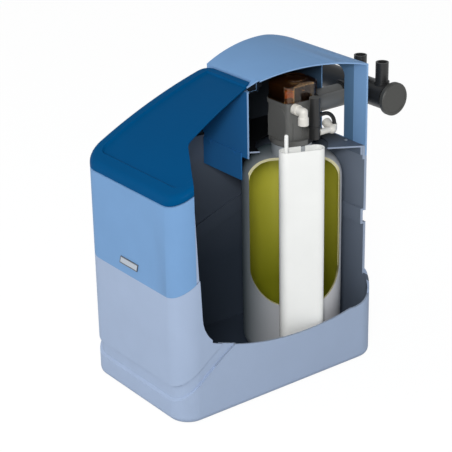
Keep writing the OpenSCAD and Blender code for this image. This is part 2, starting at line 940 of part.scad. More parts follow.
// Half profile of the vessel, inset all round, with the neck open or closed at its top
module vessel_profile(inset, top) {
  foot = vessel_foot_r - inset;
  shoulder = vessel_shoulder_r - inset;
  translate([0, tank_floor + vessel_foot_r])
    square([vessel_r - inset, vessel_side_h - vessel_foot_r]);
  translate([0, tank_floor + inset])
    square([vessel_r - vessel_foot_r, vessel_side_h]);
  translate([0, shoulder_z - eps])
    square([vessel_r - vessel_shoulder_r, shoulder + eps]);
  translate([vessel_r - vessel_foot_r, tank_floor + vessel_foot_r])
    circle(foot);
  translate([vessel_r - vessel_shoulder_r, shoulder_z])
    circle(shoulder);
  translate([0, shoulder_z])
    square([neck_r - inset, top - shoulder_z]);
}

module vessel_wall(outer, inner) {
  translate([vessel_x, vessel_y, 0])
    difference() {
      rotate_extrude()
        intersection() {
          difference() {
            vessel_profile(outer, neck_top_z);
            vessel_profile(inner, neck_top_z + eps);
          }
          square([reach, reach]);
        }
      vessel_window();
    }
}

// Window that the cut leaves in the vessel, drawn in the plane of the cut
module vessel_window() {
  w = vessel_window_half;
  r = vessel_window_r;
  z0 = vessel_window_z;
  z1 = neck_base_z + 0.6;
  rotate([0, 0, cut_turn + 90])
    translate([0, -vessel_cut, 0])
      rotate([90, 0, 0])
        linear_extrude(vessel_r) {
          translate([-w, z0 + r])
            square([2 * w, z1 - z0 - r]);
          translate([-w + r, z0])
            square([2 * (w - r), z1 - z0]);
          for (s = [-1, 1])
            translate([s * (w - r), z0 + r])
              circle(r);
        }
}

module vessel_shell() {
  color("#8d9095")
    vessel_wall(0, shell_t);
}

module vessel_liner() {
  color("#8a8a1e")
    vessel_wall(liner_in, liner_inner);
}

module neck_seal() {
  color("#1d1d1d")
  translate([vessel_x, vessel_y, neck_top_z])
    difference() {
      cylinder(h = seal_t, r = neck_r);
      translate([0, 0, -eps])
        cylinder(h = seal_t + 2 * eps, r = neck_r - liner_inner + 1);
    }
}

riser_low_z = tank_floor + liner_inner + 14;
riser_top_z = neck_top_z + flange_h - 2;

module riser_tube() {
  color("#d9d7cf")
  translate([vessel_x, vessel_y, riser_low_z])
    difference() {
      cylinder(h = riser_top_z - riser_low_z, r = riser_r);
      translate([0, 0, -eps])
        cylinder(h = riser_top_z - riser_low_z + 2 * eps, r = riser_r - riser_wall);
    }
}

// Basket with upright slots, closed below, with a socket for the riser
module basket(r, h, floor_t, slots, slot_w) {
  difference() {
    cylinder(h = h, r = r);
    translate([0, 0, floor_t])
      difference() {
        cylinder(h = h - 2 * floor_t, r = r - 2.5);
        cylinder(h = h - 2 * floor_t, r = riser_r + riser_fit + 2.5);
      }
    for (i = [0 : slots - 1])
      rotate([0, 0, i * 360 / slots])
        translate([r - 4, -slot_w / 2, floor_t + 2])
          cube([8, slot_w, h - 2 * floor_t - 4]);
  }
}

module lower_distributor() {
  floor_t = 4;
  color("#c9c7bd")
  translate([vessel_x, vessel_y, tank_floor + liner_inner])
    difference() {
      basket(lower_basket_r, lower_basket_h, floor_t, 18, 2);
      translate([0, 0, riser_low_z - tank_floor - liner_inner])
        cylinder(h = reach, r = riser_r + riser_fit);
    }
}

module upper_distributor() {
  color("#c9c7bd")
  translate([vessel_x, vessel_y, neck_top_z - spigot_h - upper_basket_h])
    difference() {
      basket(upper_basket_r, upper_basket_h, 3, 18, 2);
      translate([0, 0, -eps])
        cylinder(h = reach, r = riser_r + riser_fit);
    }
}

// Rounded rectangle of the valve's plan, grown on all sides and drawn out to the rear
module block_plan(grow, r, back = 0) {
  w = block_w / 2 + grow;
  d = (block_d + back) / 2 + grow;
  translate([block_x, block_y + back / 2]) {
    square([2 * (w - r), 2 * d], center = true);
    square([2 * w, 2 * (d - r)], center = true);
    for (sx = [-1, 1], sy = [-1, 1])
      translate([sx * (w - r), sy * (d - r)])
        circle(r);
  }
}

module block_prism(grow, z0, z1, r = block_r, back = 0) {
  translate([0, 0, z0])
    linear_extrude(z1 - z0)
      block_plan(grow, r, back);
}

seal_t = 2;
band_t = 1.6;
module valve_body() {
  color(valve_grey)
  difference() {
    union() {
      translate([vessel_x, vessel_y, neck_top_z + seal_t])
        cylinder(h = flange_h - seal_t, r = flange_r);
      translate([vessel_x, vessel_y, neck_top_z - spigot_h])
        cylinder(h = spigot_h + flange_h, r = neck_r - liner_inner - 0.3);
      block_prism(0, neck_top_z + seal_t, cap_z);
      block_prism(band_t, cap_z - 6, cap_z);
      front_panel();
      side_ribs();
      drain_tower();
      for (x = pipe_xs)
        translate([x, pipe_y0 - port_depth - 2, pipe_z])
          rotate([-90, 0, 0])
            cylinder(h = port_depth + 2, r = pipe_collar_r);
    }
    translate([vessel_x, vessel_y, neck_top_z - spigot_h - eps])
      cylinder(h = spigot_h + flange_h - 2 + eps, r = riser_r + riser_fit);
    for (x = pipe_xs)
      translate([x, pipe_y0 - port_depth, pipe_z])
        rotate([-90, 0, 0])
          cylinder(h = port_depth + eps, r = pipe_r - pipe_wall);
    pipe_seats();
    translate([block_x + block_w / 2 - brine_spigot_l, brine_elbow_y, brine_elbow_z])
      rotate([0, 90, 0])
        cylinder(h = block_w, r = brine_spigot_r + spigot_fit);
  }
}

// Raised panel with a round head on the front of the block
module front_panel() {
  panel_t = 1.4;
  panel_r = 28;
  head_drop = 6;
  low = block_z - (cap_z - head_drop - panel_r);
  translate([block_x, block_y - block_d / 2 + eps, cap_z - head_drop - panel_r])
    rotate([90, 0, 0])
      linear_extrude(panel_t + eps)
        intersection() {
          union() {
            circle(panel_r);
            translate([-panel_r, low])
              square([2 * panel_r, -low]);
          }
          translate([-block_w / 2 + block_r / 2, low])
            square([block_w - block_r, reach]);
        }
}

// Stiffening ribs on the right side of the block
module side_ribs() {
  rib_w = 3;
  rib_t = 1.6;
  rib_h = 36;
  rib_at = [-18, 6];
  for (dy = rib_at)
    translate([block_x + block_w / 2 - block_r, block_y + dy, block_z])
      cube([rib_t + block_r, rib_w, rib_h]);
}

// Tower beside the block, held by a web, with a ring above the drain elbow
module drain_tower() {
  web_t = 12;
  ring_h = 3;
  translate([tower_x, tower_y, block_z])
    cylinder(h = tower_h, r = tower_r);
  translate([tower_x, tower_y, drain_z + drain_elbow_r + ring_h])
    cylinder(h = ring_h, r = tower_r + 1.5);
  translate([block_x, tower_y - web_t / 2, block_z])
    cube([tower_x - block_x, web_t, block_h - web_t]);
}

// Pipes butt on the block's rear face, each in a round seat through the band
pipe_xs = [pipe_mid_x - pipe_gap / 2, pipe_mid_x + pipe_gap / 2];
pipe_y0 = block_y + block_d / 2;
pipe_collar_r = pipe_gap / 2 - lap_gap;
port_depth = 12;
seat_room = 0.7;
module pipe_seats() {
  for (x = pipe_xs)
    translate([x, pipe_y0, pipe_z])
      rotate([-90, 0, 0])
        cylinder(h = corner_r, r = pipe_gap / 2 + seat_room);
}

module valve_cap() {
  color("#57564f")
  difference() {
    block_prism(2, cap_z, dome_z, block_r, cover_back);
    for (p = gear_at)
      translate([p.x, p.y, cap_z - eps])
        cylinder(h = cap_t + 2 * eps, r = post_r + 0.02);
  }
}

// Gear centres: program gear in the front left corner, meter gear meshing with it
program_r = gear_module * program_teeth / 2;
meter_r = gear_module * meter_teeth / 2;
mesh_dir = 37;
mesh_gap = 0.25;
gear_side = [2.4, 1.9];
program_p = [block_x - block_w / 2, block_y - block_d / 2] + gear_side + [program_r, program_r];
meter_p = program_p + (program_r + meter_r + mesh_gap) * [cos(mesh_dir), sin(mesh_dir)];
gear_at = [program_p, meter_p];
gear_lift = 2;

module gear_posts() {
  collar_r = post_r + 2;
  color("#b9bec4")
  for (p = gear_at)
    translate([p.x, p.y, 0]) {
      translate([0, 0, cap_z])
        cylinder(h = cap_t + gear_lift + gear_t + 1, r = post_r);
      translate([0, 0, dome_z])
        cylinder(h = gear_lift - 0.2, r = collar_r);
    }
}

// Toothed outline: straight-sided teeth with clearance at the sides
module gear_outline(teeth) {
  rp = gear_module * teeth / 2;
  root = rp - 1.2 * gear_module;
  tip = rp + 0.85 * gear_module;
  pitch = 360 / teeth;
  half_root = 0.28;
  half_tip = 0.13;
  polygon([for (i = [0 : teeth - 1])
    for (q = [[root, -half_root], [tip, -half_tip], [tip, half_tip], [root, half_root]])
      q[0] * [cos((i + q[1]) * pitch), sin((i + q[1]) * pitch)]]);
}

// Gear on a hub, with round lightening holes
module gear(teeth, holes) {
  rp = gear_module * teeth / 2;
  hole_ring = (post_r + rp) / 2 + 1;
  hole_r = rp * 0.2;
  difference() {
    linear_extrude(gear_t)
      gear_outline(teeth);
    translate([0, 0, -eps])
      cylinder(h = gear_t + 2 * eps, r = post_r + post_fit);
    for (i = [0 : holes - 1])
      rotate([0, 0, i * 360 / holes])
        translate([hole_ring, 0, gear_t / 2])
          cylinder(h = gear_t, r = hole_r);
  }
}

module program_gear() {
  color("#a9786e")
  translate([program_p.x, program_p.y, dome_z + gear_lift])
    rotate([0, 0, mesh_dir])
      gear(program_teeth, 6);
}

module meter_gear() {
  color("#a9786e")
  translate([meter_p.x, meter_p.y, dome_z + gear_lift])
    rotate([0, 0, mesh_dir + 180 + 180 / meter_teeth])
      gear(meter_teeth, 5);
}

// Side view of the amber cover's box: upright walls and a rounded upper edge
module dome_side(half, h, r) {
  translate([-half, 0])
    square([2 * half, h - r]);
  translate([-half + r, 0])
    square([2 * (half - r), h]);
  for (s = [-1, 1])
    translate([s * (half - r), h - r])
      circle(r);
}

// Box of the amber cover under its spherical crown, inset all round
module dome_block(inset) {
  w = block_w / 2 + dome_grow - inset;
  d = (block_d + cover_back) / 2 + dome_grow - inset;
  edge = dome_edge - inset;
  r = dome_round - inset;
  h = dome_h - inset;
  intersection() {
    translate([block_x, block_y + cover_back / 2, dome_z]) {
      side_prism(2 * (w - edge))
        dome_side(d, h, r);
      rotate([0, 0, 90])
        side_prism(2 * (d - edge))
          dome_side(w, h, r);
      for (sx = [-1, 1], sy = [-1, 1])
        translate([sx * (w - edge), sy * (d - edge), 0])
          rotate_extrude()
            intersection() {
              dome_side(edge, h, r);
              square([edge, h]);
            }
    }
    dome_crown(-inset);
  }
}

module dome_crown(grow) {
  translate([block_x, block_y + cover_back / 2, dome_z + dome_h - dome_r])
    sphere(dome_r + grow);
}

// Amber cover: hollow box with a foot flange and a bezel ring on its crown
dome_grow = 2;
module valve_cover() {
  ring_r = 26;
  ring_w = 2.6;
  ring_rise = 1.4;
  ring_side = 4;
  flange_out = 1.5;
  color([0.62, 0.36, 0.08, 0.6])
  difference() {
    union() {
      dome_block(0);
      intersection() {
        translate([block_x + ring_side, block_y + cover_back / 2, dome_z + dome_h / 2])
          difference() {
            cylinder(h = dome_h, r = ring_r);
            translate([0, 0, -eps])
              cylinder(h = dome_h + 2 * eps, r = ring_r - ring_w);
          }
        dome_crown(ring_rise);
      }
      block_prism(dome_grow + flange_out, dome_z, dome_z + 2, dome_edge, cover_back);
    }
    dome_block(dome_wall);
    block_prism(dome_grow - dome_wall, dome_z - eps, dome_z + 3, dome_edge - dome_wall, cover_back);
  }
}

// Brine elbow: a spigot in the block's side, a collar, and a leg that turns down
brine_elbow_y = block_y - block_d / 2 + 13;
brine_elbow_z = cap_z - 6.4;
brine_elbow_x = block_x + block_w / 2 + brine_elbow_reach;
brine_drop = brine_elbow_r;
brine_spigot_r = 5;
brine_spigot_l = 6;
spigot_fit = 0.1;
nut_h = 17.5;

module brine_elbow() {
  collar_w = 12;
  collar_off = 4.2;
  leg = brine_elbow_reach - 2.4;
  color(fitting_white)
  translate([brine_elbow_x, brine_elbow_y, brine_elbow_z])
    difference() {
      union() {
        translate([-brine_elbow_reach - brine_spigot_l, 0, 0])
          rotate([0, 90, 0])
            cylinder(h = brine_elbow_reach, r = brine_spigot_r);
        translate([-leg, 0, 0])
          rotate([0, 90, 0])
            cylinder(h = leg, r = brine_elbow_r);
        translate([-brine_elbow_reach + collar_off, 0, 0])
          rotate([0, 90, 0])
            cylinder(h = collar_w, r = brine_elbow_r + 1.8);
        sphere(brine_elbow_r);
        translate([0, 0, -brine_drop])
          cylinder(h = brine_drop, r = brine_elbow_r);
      }
      translate([0, 0, -brine_drop - eps])
        cylinder(h = brine_drop + eps, r = brine_bore);
      translate([-brine_elbow_reach - brine_spigot_l - eps, 0, 0])
        rotate([0, 90, 0])
          cylinder(h = brine_elbow_reach + brine_spigot_l + eps, r = brine_bore);
    }
}

brine_bore = 3;
module brine_elbow_nut() {
  color("#d3cec6")
  translate([brine_elbow_x, brine_elbow_y, brine_elbow_z - brine_drop - nut_h])
    difference() {
      union() {
        cylinder(h = nut_h - 3, r = brine_nut_r);
        translate([0, 0, nut_h - 3])
          cylinder(h = 3, r1 = brine_nut_r, r2 = brine_elbow_r);
      }
      translate([0, 0, -eps])
        cylinder(h = nut_h + 2 * eps, r = brine_bore + 2);
    }
}

// Drain elbow: a leg back from the tower, a hose port on top and a flow control beside it
drain_z = block_z + 10;
drain_p = [tower_x, tower_y + drain_reach];
flow_share = 0.55;
port_off = 6;
port_rise = 10;
port_seat = 5;

module toward_flow(from) {
  translate([drain_p.x, drain_p.y, drain_z])
    rotate([0, -90 + flow_rise, 0])
      translate([0, 0, from])
        children();
}

module drain_elbow() {
  leg = drain_reach - tower_r;
  port_wall = 1.8;
  color(fitting_white)
  difference() {
    union() {
      translate([drain_p.x, drain_p.y, drain_z]) {
        sphere(drain_elbow_r);
        rotate([90, 0, 0])
          cylinder(h = leg - 0.1, r = drain_leg_r);
        translate([0, port_off, 0])
          cylinder(h = port_rise, r = hose_r + port_wall);
      }
      toward_flow(0)
        cylinder(h = flow_share * flow_l, r = drain_elbow_r - 1);
    }
    translate([drain_p.x, drain_p.y + port_off, drain_z + port_rise - port_seat])
      cylinder(h = port_seat + drain_elbow_r, r = hose_r + 0.1);
  }
}

// Screw cap of the flow control
module drain_elbow_nut() {
  edge = 2;
  cap_l = flow_l * (1 - flow_share);
  color("#d3cec6")
  toward_flow(flow_share * flow_l) {
    cylinder(h = cap_l - edge, r = drain_elbow_r - 0.4);
    translate([0, 0, cap_l - edge])
      cylinder(h = edge, r1 = drain_elbow_r - 0.4, r2 = drain_elbow_r - 0.4 - edge);
  }
}

// Formed hose: up out of the port, then a quarter bend back to the tower
module drain_hose() {
  z0 = drain_z + port_rise - port_seat;
  z1 = drain_z + port_rise;
  straight = drain_reach + port_off - hose_bend - tower_r;
  color("#161616")
  translate([drain_p.x, drain_p.y + port_off, 0])
    rotate([0, 0, 90]) {
      translate([0, 0, z0])
        cylinder(h = z1 - z0, r = hose_r);
      translate([-hose_bend, 0, z1])
        rotate([90, 0, 0])
          rotate_extrude(angle = 90)
            translate([hose_bend, 0])
              circle(hose_r);
      translate([-hose_bend - straight + lap_gap, 0, z1 + hose_bend])
        rotate([0, 90, 0])
          cylinder(h = straight - lap_gap, r = hose_r);
    }
}

pipe_end_y = bypass_y - bypass_r + 4;
socket_r = pipe_r + 3.6;
socket_l = 16;

module straight_pipe(x) {
  collar_w = 7;
  color(valve_grey)
  translate([x, pipe_y0, pipe_z])
    rotate([-90, 0, 0])
      difference() {
        union() {
          cylinder(h = pipe_end_y - pipe_y0 - 2, r = pipe_r);
          cylinder(h = collar_w, r = pipe_collar_r);
        }
        translate([0, 0, -eps])
          cylinder(h = reach, r = pipe_r - pipe_wall);
      }
}

module inlet_pipe() {
  straight_pipe(pipe_xs[0]);
}

module outlet_pipe() {
  straight_pipe(pipe_xs[1]);
}

clip_t = 4;
module pipe_clip() {
  color("#3a3a3a")
  translate([0, pipe_end_y - socket_l + 3, pipe_z])
    rotate([-90, 0, 0])
      difference() {
        for (x = pipe_xs)
          translate([x, 0, 0])
            cylinder(h = clip_t, r = socket_r + 2.8);
        for (x = pipe_xs)
          translate([x, 0, -eps])
            cylinder(h = clip_t + 2 * eps, r = socket_r + 0.1);
      }
}

// Bypass: spool bore along X, two pipe sockets in front, two upright stubs
bypass_x1 = outlet_stub_x + stub_r + 8;
bypass_x0 = 2 * pipe_mid_x - bypass_x1;
collar_l = 6;
collar_x0 = bypass_x0 - collar_l;
collar_x1 = bypass_x1 + collar_l;
spool_x0 = bypass_x0 + 8;
spool_x1 = bypass_x1 - spool_travel - 6;
shaft_r = 12;
spool_bore = spool_r + spool_fit;
knob_seat = 3.2;
knob_gap = 0.3;

module along_x(x, h, r) {
  translate([x, 0, 0])
    rotate([0, 90, 0])
      cylinder(h = h, r = r);
}

module bypass_body() {
  color(pipe_black)
  translate([0, bypass_y, bypass_z])
    difference() {
      union() {
        along_x(bypass_x0, bypass_x1 - bypass_x0, bypass_r);
        along_x(bypass_x1 - eps, collar_x1 - bypass_x1 + eps, bypass_r - 5);
        for (x = pipe_xs)
          translate([x, -bypass_r + 4 - socket_l, pipe_z - bypass_z])
            rotate([-90, 0, 0])
              cylinder(h = socket_l + bypass_r - 4, r = socket_r);
        for (x = [inlet_stub_x, outlet_stub_x]) {
          translate([x, 0, 0])
            cylinder(h = stub_h, r = stub_r);
          translate([x, 0, bypass_r - 6])
            cylinder(h = 8, r = stub_r + 2.5);
        }
      }
      along_x(bypass_x0 - eps, bypass_x1 - bypass_x0 - 2 + eps, spool_bore);
      along_x(bypass_x1 - 3, collar_x1 - bypass_x1 + 3 + eps, shaft_r + spool_fit);
      for (x = pipe_xs)
        translate([x, -bypass_r + 4 - socket_l - eps, pipe_z - bypass_z])
          rotate([-90, 0, 0]) {
            cylinder(h = socket_l + eps, r = pipe_r + 0.1);
            cylinder(h = socket_l + bypass_r - 4, r = pipe_r - pipe_wall);
          }
      for (x = [inlet_stub_x, outlet_stub_x])
        translate([x, 0, 0]) {
          cylinder(h = stub_h, r = stub_port);
          translate([0, 0, stub_h - stub_socket])
            cylinder(h = stub_socket + eps, r = stub_bore);
        }
    }
}

module bypass_end_cap() {
  plug = 4;
  color("#3a3a3a")
  translate([0, bypass_y, bypass_z])
    difference() {
      union() {
        along_x(collar_x0, collar_l, bypass_r - 1);
        along_x(bypass_x0 - eps, plug + eps, spool_bore - 0.15);
      }
      along_x(collar_x0 - eps, collar_l + plug + 2 * eps, shaft_r + spool_fit);
    }
}

// Places of the seals along the spool
spool_l = spool_x1 - spool_x0;
seal_w = 3;
seal_depth = 2.4;
spool_seal_x = [for (f = [0.06, 0.36, 0.64, 0.94]) spool_x0 + f * spool_l - seal_w / 2];

// At rest the left knob stands out from its collar by the spool's travel
left_knob_x = collar_x0 - spool_travel;

module bypass_spool() {
  waist_r = 12;
  shaft_x0 = left_knob_x - knob_seat;
  color("#6b6b66")
  translate([0, bypass_y, bypass_z])
    difference() {
      union() {
        along_x(spool_x0, spool_l, spool_r);
        along_x(shaft_x0, collar_x1 + knob_seat - shaft_x0, shaft_r);
      }
      for (f = [0.12, 0.7])
        difference() {
          along_x(spool_x0 + f * spool_l, 0.18 * spool_l, spool_r + eps);
          along_x(spool_x0, spool_l, waist_r);
        }
      for (x = spool_seal_x)
        difference() {
          along_x(x - 0.1, seal_w + 0.2, spool_r + eps);
          along_x(x - 1, seal_w + 2, spool_r - seal_depth);
        }
    }
}

module spool_seals() {
  color("#161616")
  translate([0, bypass_y, bypass_z])
    for (x = spool_seal_x)
      difference() {
        along_x(x, seal_w, spool_r + 0.02);
        along_x(x - eps, seal_w + 2 * eps, spool_r - seal_depth + 0.05);
      }
}

// Round knob seated on the end of the shaft, drawn outwards along X
module knob_disc() {
  edge = 2;
  hub_l = 3;
  dish_r = knob_r - 7;
  color("#4d4d47")
  difference() {
    union() {
      along_x(knob_gap, hub_l, shaft_r + 8);
      along_x(hub_l, knob_t - hub_l - edge, knob_r);
      translate([knob_t - edge, 0, 0])
        rotate([0, 90, 0])
          cylinder(h = edge, r1 = knob_r, r2 = knob_r - edge);
    }
    along_x(-eps, knob_seat + 2 * eps, shaft_r + 0.02);
    along_x(knob_t - 0.8, 2, dish_r);
  }
}

module bypass_knob() {
  translate([collar_x1, bypass_y, bypass_z])
    knob_disc();
}

module bypass_left_knob() {
  translate([left_knob_x, bypass_y, bypass_z])
    mirror([1, 0, 0])
      knob_disc();
}

// Oval of the well's plan
module well_outline(inset) {
  half = well_l / 2 - well_w / 2;
  r = well_w / 2 - inset;
  translate(well_c)
    rotate([0, 0, -well_turn]) {
      square([2 * r, 2 * half], center = true);
      for (s = [-1, 1])
        translate([0, s * half])
          circle(r);
    }
}

module brine_well() {
  slot_w = 9;
  slot_h = 12;
  vent_r = 4;
  vent_z = [30, 55, 80];
  vent_along = [-18, 0, 18];
  color("#f2f2f0")
  difference() {
    translate([0, 0, tank_floor])
      linear_extrude(well_h)
        difference() {
          well_outline(0);
          well_outline(well_wall);
        }
    translate([well_c.x, well_c.y, tank_floor + well_h - slot_h])
      rotate([0, 0, -well_turn])
        translate([-well_w, 3, 0])
          cube([well_w, slot_w, slot_h + eps]);
    for (z = vent_z, s = vent_along)
      translate([well_c.x, well_c.y, tank_floor + z])
        rotate([0, 0, -well_turn])
          translate([-well_w, s, 0])
            rotate([0, 90, 0])
              cylinder(h = 2 * well_w, r = vent_r);
  }
}

check_h = 42;
check_r = 10;
rod_z0 = tank_floor + check_h - 10;
rod_top_z = rod_z0 + rod_l - rod_r;

module brine_rod() {
  color("#f4f3ef")
  translate([rod_p.x, rod_p.y, rod_z0]) {
    cylinder(h = rod_l - rod_r, r = rod_r);
    translate([0, 0, rod_l - rod_r])
      sphere(rod_r);
  }
}

// Cage on the tank floor that holds the rod's foot
module air_check() {
  slot_w = 5;
  slot_z = 6;
  slot_h = 18;
  color("#e3e3dd")
  translate([rod_p.x, rod_p.y, tank_floor])
    difference() {
      cylinder(h = check_h, r = check_r);
      translate([0, 0, check_h - 10])
        cylinder(h = 10 + eps, r = rod_r + 0.05);
      for (a = [0, 90])
        rotate([0, 0, a])
          translate([-2 * check_r, -slot_w / 2, slot_z])
            cube([4 * check_r, slot_w, slot_h]);
    }
}

stop_z = tank_floor + check_h;
stop_h = 6;
module float_stop() {
  color("#3a3a3a")
  translate([rod_p.x, rod_p.y, stop_z])
    difference() {
      cylinder(h = stop_h, r = rod_r + 4);
      translate([0, 0, -eps])
        cylinder(h = stop_h + 2 * eps, r = rod_r + 0.05);
    }
}

module brine_float() {
  bevel = 3;
  z0 = stop_z + stop_h + 0.3;
  color("#e9e4cf")
  translate([rod_p.x, rod_p.y, z0])
    difference() {
      union() {
        cylinder(h = bevel, r1 = float_r - bevel, r2 = float_r);
        translate([0, 0, bevel])
          cylinder(h = float_h - 2 * bevel, r = float_r);
        translate([0, 0, float_h - bevel])
          cylinder(h = bevel, r1 = float_r, r2 = float_r - bevel);
      }
      translate([0, 0, -eps])
        cylinder(h = float_h + 2 * eps, r = rod_r + 0.1);
    }
}

brine_tank();
tank_deck();
deck_screws();
top_cover();
salt_guard();
guard_rivets();
badge_frame();
badge_plate();
salt_lid();
lid_hinge_pins();
vessel_shell();
vessel_liner();
neck_seal();
riser_tube();
lower_distributor();
upper_distributor();
valve_body();
valve_cap();
gear_posts();
program_gear();
meter_gear();
valve_cover();
brine_elbow();
brine_elbow_nut();
drain_elbow();
drain_elbow_nut();
drain_hose();
inlet_pipe();
outlet_pipe();
pipe_clip();
bypass_body();
bypass_end_cap();
bypass_spool();
spool_seals();
bypass_knob();
bypass_left_knob();
brine_well();
brine_rod();
air_check();
brine_float();
float_stop();
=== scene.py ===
# %% [markdown]
# # A cabinet water softener, cut open
# The CAD model gives every part its place and size. This lesson dresses it: a camera at
# the photograph's angle, soft light, a finish for each plastic and metal, and softened edges.
# Everything is in metres, in the CAD model's own frame, with the front towards -Y. Lengths
# are written in millimetres and turned to metres where Blender needs them.

# %% Load the frame
import json
from math import atan2, cos, radians, sin

import bpy
from mathutils import Matrix, Vector


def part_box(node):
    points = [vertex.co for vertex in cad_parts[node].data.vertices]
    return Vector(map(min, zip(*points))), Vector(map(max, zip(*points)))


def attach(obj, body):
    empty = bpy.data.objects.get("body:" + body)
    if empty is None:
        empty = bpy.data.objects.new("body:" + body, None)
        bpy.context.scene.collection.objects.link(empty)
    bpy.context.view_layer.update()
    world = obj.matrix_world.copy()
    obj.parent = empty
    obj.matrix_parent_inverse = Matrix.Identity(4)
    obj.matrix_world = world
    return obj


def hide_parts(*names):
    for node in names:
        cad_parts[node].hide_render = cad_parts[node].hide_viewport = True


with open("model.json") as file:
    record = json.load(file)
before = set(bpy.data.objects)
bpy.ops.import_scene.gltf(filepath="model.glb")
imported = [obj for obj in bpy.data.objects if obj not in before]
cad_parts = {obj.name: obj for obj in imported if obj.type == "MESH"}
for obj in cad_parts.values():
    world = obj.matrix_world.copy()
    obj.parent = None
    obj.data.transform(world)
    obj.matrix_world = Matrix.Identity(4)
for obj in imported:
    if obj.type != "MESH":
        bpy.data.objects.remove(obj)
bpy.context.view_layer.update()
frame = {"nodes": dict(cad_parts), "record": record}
nodes = frame["nodes"]
MM = 0.001
bpy.ops.object.select_all(action="DESELECT")

# %% [markdown]
# ## Camera
# The view was worked out from the cabinet's own edges in the picture: where the camera
# stands, which way it looks, how far it is rolled, and its focal length in pixels. It could
# be set by eye, but the edges then never quite line up. A long lens far away keeps the
# cabinet's sides nearly parallel, as in the picture.

# %% Place the camera
FRAME_PX = 452
FOCAL_PX = 1543.24
SENSOR_MM = 36.0
VIEW_DEPTH = 20.0
CAMERA_MM = Vector((2262.2, -1719.3, 1533.1))
TURN, LIFT, ROLL = radians(53.07), radians(23.39), radians(-1.09)

ahead = Vector((-sin(TURN) * cos(LIFT), cos(TURN) * cos(LIFT), -sin(LIFT)))
level = Vector((cos(TURN), sin(TURN), 0.0))
above = level.cross(ahead)
right = level * cos(ROLL) + above * sin(ROLL)
up = above * cos(ROLL) - level * sin(ROLL)

bpy.ops.object.camera_add()
camera = bpy.context.object
camera.data.sensor_width = SENSOR_MM
camera.data.lens = FOCAL_PX / FRAME_PX * SENSOR_MM
camera.data.clip_end = VIEW_DEPTH
turned = Matrix((right, up, -ahead)).transposed().to_4x4()
camera.matrix_world = Matrix.Translation(CAMERA_MM * MM) @ turned
bpy.context.scene.camera = camera
bpy.context.scene.view_settings.view_transform = "Standard"
print("lens", round(camera.data.lens, 2), "mm")

# %% [markdown]
# ## Colours and nodes
# Colours are written as the eye sees them, in sRGB hex, and one function turns them to the
# linear values that shaders use. A second small function adds a shader node, gives it its
# settings and links its inputs, so that a material reads as a short list. Two more start an
# empty material, and tell which kinds of light ray meet a surface.

# %% Colour and node helpers
def linear(hex_colour):
    channels = [int(hex_colour[i:i + 2], 16) / 255 for i in (1, 3, 5)]
    return [c / 12.92 if c <= 0.04045 else ((c + 0.055) / 1.055) ** 2.4
            for c in channels] + [1.0]


def add(tree, kind, settings=None, links=None):
    node = tree.nodes.new(kind)
    for name, value in (settings or {}).items():
        if isinstance(name, int) or name in node.inputs:
            node.inputs[name].default_value = value
        else:
            setattr(node, name, value)
    for name, socket in (links or {}).items():
        tree.links.new(socket, node.inputs[name])
    return node


def new_material(name):
    material = bpy.data.materials.new(name)
    material.use_nodes = True
    tree = material.node_tree
    tree.nodes.clear()
    return material, tree


def any_ray(tree, kinds):
    path = add(tree, "ShaderNodeLightPath")
    seen = path.outputs[kinds[0]]
    for kind in kinds[1:]:
        either = add(tree, "ShaderNodeMath", {"operation": "MAXIMUM"},
                     {0: seen, 1: path.outputs[kind]})
        seen = either.outputs[0]
    return seen


print("helpers ready")

# %% [markdown]
# ## Floor
# A studio shot on white: the floor is a wide sheet of pale paper. A lit sheet alone would
# come out grey, and more light would bleach the cabinet. So camera, mirror and glass rays
# see plain white, mixed with a little of the lit paper, and the soft shadow stays.

# %% Paper floor
FLOOR_SIZE = 12.0
SHADOW_SHARE = 0.16
PAPER_GLOW = 1.12
bpy.ops.mesh.primitive_plane_add(size=FLOOR_SIZE)
floor = bpy.context.object
floor.name = "floor"
# Matt paper: no gloss at all, so that only the shadow is drawn on it.
paper, tree = new_material("matt white paper")
seen = any_ray(tree, ["Is Camera Ray", "Is Glossy Ray", "Is Transmission Ray"])
share = add(tree, "ShaderNodeMath", {"operation": "MULTIPLY", 1: 1.0 - SHADOW_SHARE}, {0: seen})
lit = add(tree, "ShaderNodeBsdfDiffuse", {"Color": linear("#c4c4c4")})
white = add(tree, "ShaderNodeEmission", {"Color": linear("#ffffff"), "Strength": PAPER_GLOW})
mixed = add(tree, "ShaderNodeMixShader", None,
            {0: share.outputs[0], 1: lit.outputs[0], 2: white.outputs[0]})
add(tree, "ShaderNodeOutputMaterial", None, {"Surface": mixed.outputs[0]})
floor.data.materials.append(paper)
print("floor", FLOOR_SIZE, "m wide")

# %% [markdown]
# ## Light from all round
# The world is a pale room, brighter near the floor than overhead, as in a tent of white
# cloth. It fills the shadows evenly. The camera and glass see it as plain white.

# %% Studio world
GLOW_LOW, GLOW_HIGH, GLOW_TOP = 0.85, 0.35, 0.9
COOL_WHITE = (0.95, 0.98, 1.0, 1.0)
world = bpy.data.worlds.new("studio")
bpy.context.scene.world = world
world.use_nodes = True
tree = world.node_tree
tree.nodes.clear()
seen = any_ray(tree, ["Is Camera Ray", "Is Transmission Ray"])
sky = add(tree, "ShaderNodeTexCoord")
height = add(tree, "ShaderNodeSeparateXYZ", None, {0: sky.outputs["Generated"]})
fall = add(tree, "ShaderNodeMapRange",
           {"From Min": 0.0, "From Max": GLOW_TOP, "To Min": GLOW_LOW, "To Max": GLOW_HIGH},
           {"Value": height.outputs["Z"]})
fill = add(tree, "ShaderNodeBackground", {"Color": COOL_WHITE},
           {"Strength": fall.outputs["Result"]})
white = add(tree, "ShaderNodeBackground", {"Color": linear("#ffffff"), "Strength": 1.0})
mixed = add(tree, "ShaderNodeMixShader", None,
            {0: seen, 1: fill.outputs[0], 2: white.outputs[0]})
